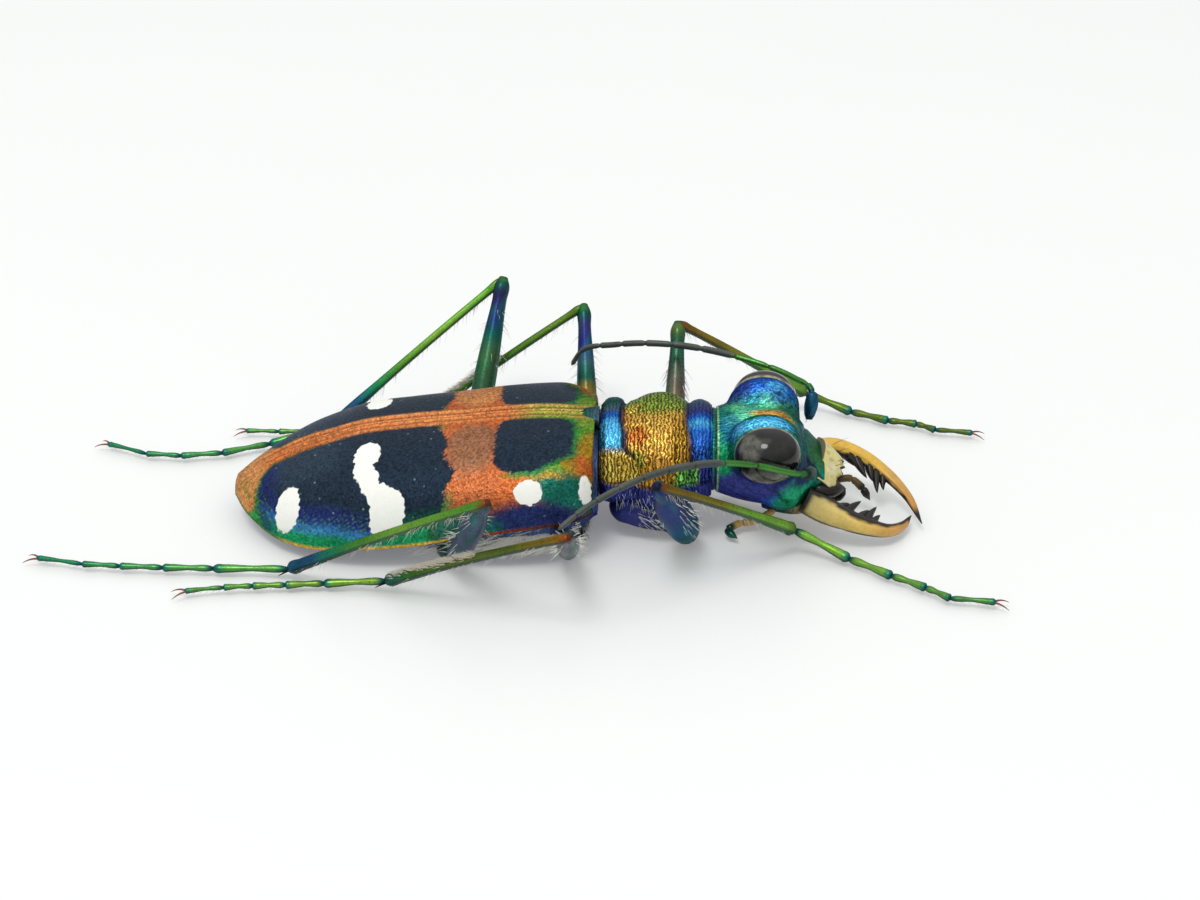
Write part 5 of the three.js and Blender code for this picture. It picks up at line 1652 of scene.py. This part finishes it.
VIEW_TARGET = (0.0, 0.0, 2.4)
VIEW_DISTANCE = 75.0
VIEW_AZIMUTH = 1.8
VIEW_ELEVATION = 29.5
FOCAL_PIXELS = 2306.0
IMAGE_WIDTH = 1200.0
PRINCIPAL_DROP = 1.5  # pixels below the middle of the image
SENSOR = 36.0
FLOOR_DROP = 0.00001  # metres below the feet
LAMP_PLACE = (-60, -120, 330)


def make_camera():
    """A camera at the photograph's angle, distance and framing."""
    turn, lift = math.radians(VIEW_AZIMUTH), math.radians(VIEW_ELEVATION)
    back = np.array([math.sin(turn) * math.cos(lift), -math.cos(turn) * math.cos(lift), math.sin(lift)])
    data = bpy.data.cameras.new("view")
    data.sensor_width = SENSOR
    data.lens = FOCAL_PIXELS / IMAGE_WIDTH * SENSOR
    data.shift_y = PRINCIPAL_DROP / IMAGE_WIDTH
    data.clip_start = 0.005
    data.clip_end = 5.0
    camera = bpy.data.objects.new("view", data)
    camera.location = Vector((np.array(VIEW_TARGET) + VIEW_DISTANCE * back + ORIGIN) * MM)
    camera.rotation_mode = "QUATERNION"
    camera.rotation_quaternion = Vector(-back).to_track_quat("-Z", "Y")
    bpy.context.scene.collection.objects.link(camera)
    bpy.context.scene.camera = camera


def make_floor(settings):
    """A wide pale floor just under the feet."""
    look = Look("pale_floor")
    cloud = look.noise(0.03, 2.0)
    colour = look.varied(tuple(settings.floor_colour), 0.01, cloud)
    material = look.done(colour, look.span(cloud, 0.3, 0.7, 0.38, 0.42), Specular_IOR_Level=0.3,
                         Emission_Color=(1.0, 1.0, 1.0, 1.0), Emission_Strength=settings.floor_glow)
    mesh = bpy.data.meshes.new("floor")
    half = settings.floor_half * MM
    corners = [(-half, -half, 0), (half, -half, 0), (half, half, 0), (-half, half, 0)]
    mesh.from_pydata(corners, [], [(0, 1, 2, 3)])
    mesh.materials.append(material)
    floor = bpy.data.objects.new("floor", mesh)
    floor.location.z = -FLOOR_DROP
    bpy.context.scene.collection.objects.link(floor)


def make_light(name, place, size, power):
    """A round soft lamp that faces the beetle."""
    data = bpy.data.lights.new(name, "AREA")
    data.shape = "DISK"
    data.size = size * MM
    data.energy = power
    light = bpy.data.objects.new(name, data)
    light.location = Vector(np.array(place) * MM)
    light.rotation_mode = "QUATERNION"
    light.rotation_quaternion = (-light.location).to_track_quat("-Z", "Y")
    bpy.context.scene.collection.objects.link(light)


def make_sky(settings):
    """Even pale light from all round, brighter overhead than at the horizon."""
    world = bpy.data.worlds.new("studio")
    world.use_nodes = True
    bpy.context.scene.world = world
    tree = world.node_tree
    place = tree.nodes.new("ShaderNodeTexCoord")
    split = tree.nodes.new("ShaderNodeSeparateXYZ")
    span = tree.nodes.new("ShaderNodeMapRange")
    span.inputs["From Min"].default_value = 0.0
    span.inputs["From Max"].default_value = 0.75
    span.inputs["To Min"].default_value = settings.horizon
    span.inputs["To Max"].default_value = settings.zenith
    tree.links.new(place.outputs["Generated"], split.inputs[0])
    tree.links.new(split.outputs["Z"], span.inputs["Value"])
    background = tree.nodes["Background"]
    background.inputs["Color"].default_value = (0.975, 1.0, 0.985, 1)
    tree.links.new(span.outputs["Result"], background.inputs["Strength"])


# Settings


class WingCaseSettings(PropertyGroup):
    """Finish of the wing cases."""

    cream: FloatVectorProperty(name="Cream", description="Colour of the cream marks", subtype="COLOR",
                               size=3, default=(0.97, 0.965, 0.9))
    grain_depth: FloatProperty(name="Grain depth", description="Depth of the fine grain, in mm",
                               default=0.012)
    pits_per_mm: FloatProperty(name="Pits", description="Small pits along one millimetre", default=3.0)


class SkinSettings(PropertyGroup):
    """Finish of head, ring, trunk and legs."""

    wrinkle_waves: FloatProperty(name="Wrinkles", description="Closeness of the wavy wrinkles",
                                 default=2.6)
    wrinkle_depth: FloatProperty(name="Wrinkle depth", description="Depth of the wrinkles, in mm",
                                 default=0.05)
    roughness: FloatProperty(name="Roughness", description="Roughness of the polished skin", default=0.3,
                             subtype="FACTOR")


class HairSettings(PropertyGroup):
    """Bristles and hairs."""

    bristle_length: FloatProperty(name="Bristle length", description="Length of shin bristles, in mm",
                                  default=0.26)
    shin_bristles: IntProperty(name="Shin bristles", description="Bristles along one millimetre of a row",
                               default=4)
    hair_density: FloatProperty(name="Hair density", description="Share of the full number of hairs",
                                default=1.0)


class StageSettings(PropertyGroup):
    """Floor and light."""

    floor_colour: FloatVectorProperty(name="Floor", description="Colour of the floor", subtype="COLOR",
                                      size=3, default=(0.78, 0.785, 0.78))
    floor_half: FloatProperty(name="Floor half width", description="Half the floor's width, in mm",
                              default=1500.0)
    floor_glow: FloatProperty(name="Floor glow", description="Light that the floor itself gives",
                              default=0.16)
    horizon: FloatProperty(name="Horizon", description="Strength of the light at the horizon", default=0.3)
    zenith: FloatProperty(name="Zenith", description="Strength of the light overhead", default=0.95)
    lamp_power: FloatProperty(name="Lamp power", description="Power of the lamp overhead, in watts",
                              default=0.36)
    lamp_size: FloatProperty(name="Lamp size", description="Width of the lamp overhead, in mm",
                             default=120.0)


class BeetleSettings(PropertyGroup):
    """Everything that a user would change."""

    wing_cases: PointerProperty(type=WingCaseSettings, name="Wing cases",
                                description="Finish of the wing cases")
    skin: PointerProperty(type=SkinSettings, name="Skin", description="Finish of the body's skin")
    hair: PointerProperty(type=HairSettings, name="Hair", description="Bristles and hairs")
    stage: PointerProperty(type=StageSettings, name="Stage", description="Floor and light")


# Operators


def skin_material(context):
    found = bpy.data.materials.get("body_skin")
    if found:
        return found
    skin = context.scene.tiger_beetle.skin
    return wrinkled_material("body_skin", skin.wrinkle_waves, 8.0, skin.wrinkle_depth * 0.5, skin.roughness)


class BEETLE_OT_wing_cases(Operator):
    """Build both wing cases and the small plate between them"""

    bl_idname = "tiger_beetle.wing_cases"
    bl_label = "Wing cases"

    def execute(self, context):
        material = wing_case_material(context.scene.tiger_beetle.wing_cases)
        make_wing_case("left", LEFT, material)
        make_wing_case("right", RIGHT, material)
        make_scutellum(skin_material(context))
        return {"FINISHED"}


class BEETLE_OT_trunk(Operator):
    """Build thorax and abdomen as one skin"""

    bl_idname = "tiger_beetle.trunk"
    bl_label = "Trunk"

    def execute(self, context):
        make_trunk(skin_material(context))
        return {"FINISHED"}


class BEETLE_OT_first_ring(Operator):
    """Build the first body ring with its back plate"""

    bl_idname = "tiger_beetle.first_ring"
    bl_label = "First ring"

    def execute(self, context):
        skin = context.scene.tiger_beetle.skin
        material = wrinkled_material("ring_skin", skin.wrinkle_waves, 6.5, skin.wrinkle_depth, skin.roughness)
        make_first_ring(material)
        return {"FINISHED"}


class BEETLE_OT_head(Operator):
    """Build the head capsule and both eyes"""

    bl_idname = "tiger_beetle.head"
    bl_label = "Head"

    def execute(self, context):
        skin = context.scene.tiger_beetle.skin
        material = wrinkled_material("head_skin", skin.wrinkle_waves, 7.5, skin.wrinkle_depth * 0.6,
                                     skin.roughness, "Y", 0.3)
        make_head(material)
        facets = eye_material()
        make_eye("left", LEFT, facets)
        make_eye("right", RIGHT, facets)
        return {"FINISHED"}


class BEETLE_OT_mouth(Operator):
    """Build jaws, lips and palps"""

    bl_idname = "tiger_beetle.mouth"
    bl_label = "Mouth"

    def execute(self, context):
        horn = horn_material()
        make_jaw("left", LEFT, horn)
        make_jaw("right", RIGHT, horn)
        make_lip(horn)
        for name in PALPS:
            make_palp(name, horn)
        make_under_lip(skin_material(context))
        return {"FINISHED"}


class BEETLE_OT_feelers(Operator):
    """Build both feelers"""

    bl_idname = "tiger_beetle.feelers"
    bl_label = "Feelers"

    def execute(self, context):
        material = limb_material()
        make_feeler("left", LEFT, material)
        make_feeler("right", RIGHT, material)
        return {"FINISHED"}


class BEETLE_OT_legs(Operator):
    """Build the six legs"""

    bl_idname = "tiger_beetle.legs"
    bl_label = "Legs"

    def execute(self, context):
        material = limb_material()
        for name in LEG_POSES:
            leg = Leg(name)
            make_upper_leg(leg, material)
            make_lower_leg(leg, material)
        return {"FINISHED"}


class BEETLE_OT_hairs(Operator):
    """Set bristles and hairs on legs, flanks, face and ring"""

    bl_idname = "tiger_beetle.hairs"
    bl_label = "Hairs"

    def execute(self, context):
        settings = context.scene.tiger_beetle.hair
        material = hair_material()
        for name in LEG_POSES:
            leg_coat(Leg(name), settings, material)
        flank_coat("left", LEFT, settings, material)
        flank_coat("right", RIGHT, settings, material)
        face_coat(material)
        return {"FINISHED"}


class BEETLE_OT_stage(Operator):
    """Set up camera, floor and light"""

    bl_idname = "tiger_beetle.stage"
    bl_label = "Stage"

    def execute(self, context):
        settings = context.scene.tiger_beetle.stage
        make_camera()
        make_floor(settings)
        make_sky(settings)
        make_light("key_light", LAMP_PLACE, settings.lamp_size, settings.lamp_power)
        context.scene.view_settings.view_transform = "Standard"
        return {"FINISHED"}


class BEETLE_PT_panel(Panel):
    """Every piece of the beetle and its settings"""

    bl_label = "Tiger beetle"
    bl_idname = "BEETLE_PT_panel"
    bl_space_type = "VIEW_3D"
    bl_region_type = "UI"
    bl_category = "Tiger beetle"

    def draw(self, context):
        layout = self.layout
        for operator in OPERATORS:
            layout.operator(operator.bl_idname)
        settings = context.scene.tiger_beetle
        for group in (settings.wing_cases, settings.skin, settings.hair, settings.stage):
            box = layout.box()
            for name in group.__annotations__:
                box.prop(group, name)


OPERATORS = [
    BEETLE_OT_stage,
    BEETLE_OT_wing_cases,
    BEETLE_OT_trunk,
    BEETLE_OT_first_ring,
    BEETLE_OT_head,
    BEETLE_OT_mouth,
    BEETLE_OT_feelers,
    BEETLE_OT_legs,
    BEETLE_OT_hairs,
]
SETTINGS = [WingCaseSettings, SkinSettings, HairSettings, StageSettings, BeetleSettings]
CLASSES = [*SETTINGS, *OPERATORS, BEETLE_PT_panel]


def register():
    for entry in CLASSES:
        bpy.utils.register_class(entry)
    bpy.types.Scene.tiger_beetle = PointerProperty(type=BeetleSettings)


def unregister():
    del bpy.types.Scene.tiger_beetle
    for entry in reversed(CLASSES):
        bpy.utils.unregister_class(entry)


def main():
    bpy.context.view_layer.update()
    register()
    for operator in OPERATORS:
        group, name = operator.bl_idname.split(".")
        getattr(getattr(bpy.ops, group), name)()
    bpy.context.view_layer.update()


if __name__ == "__main__":
    main()
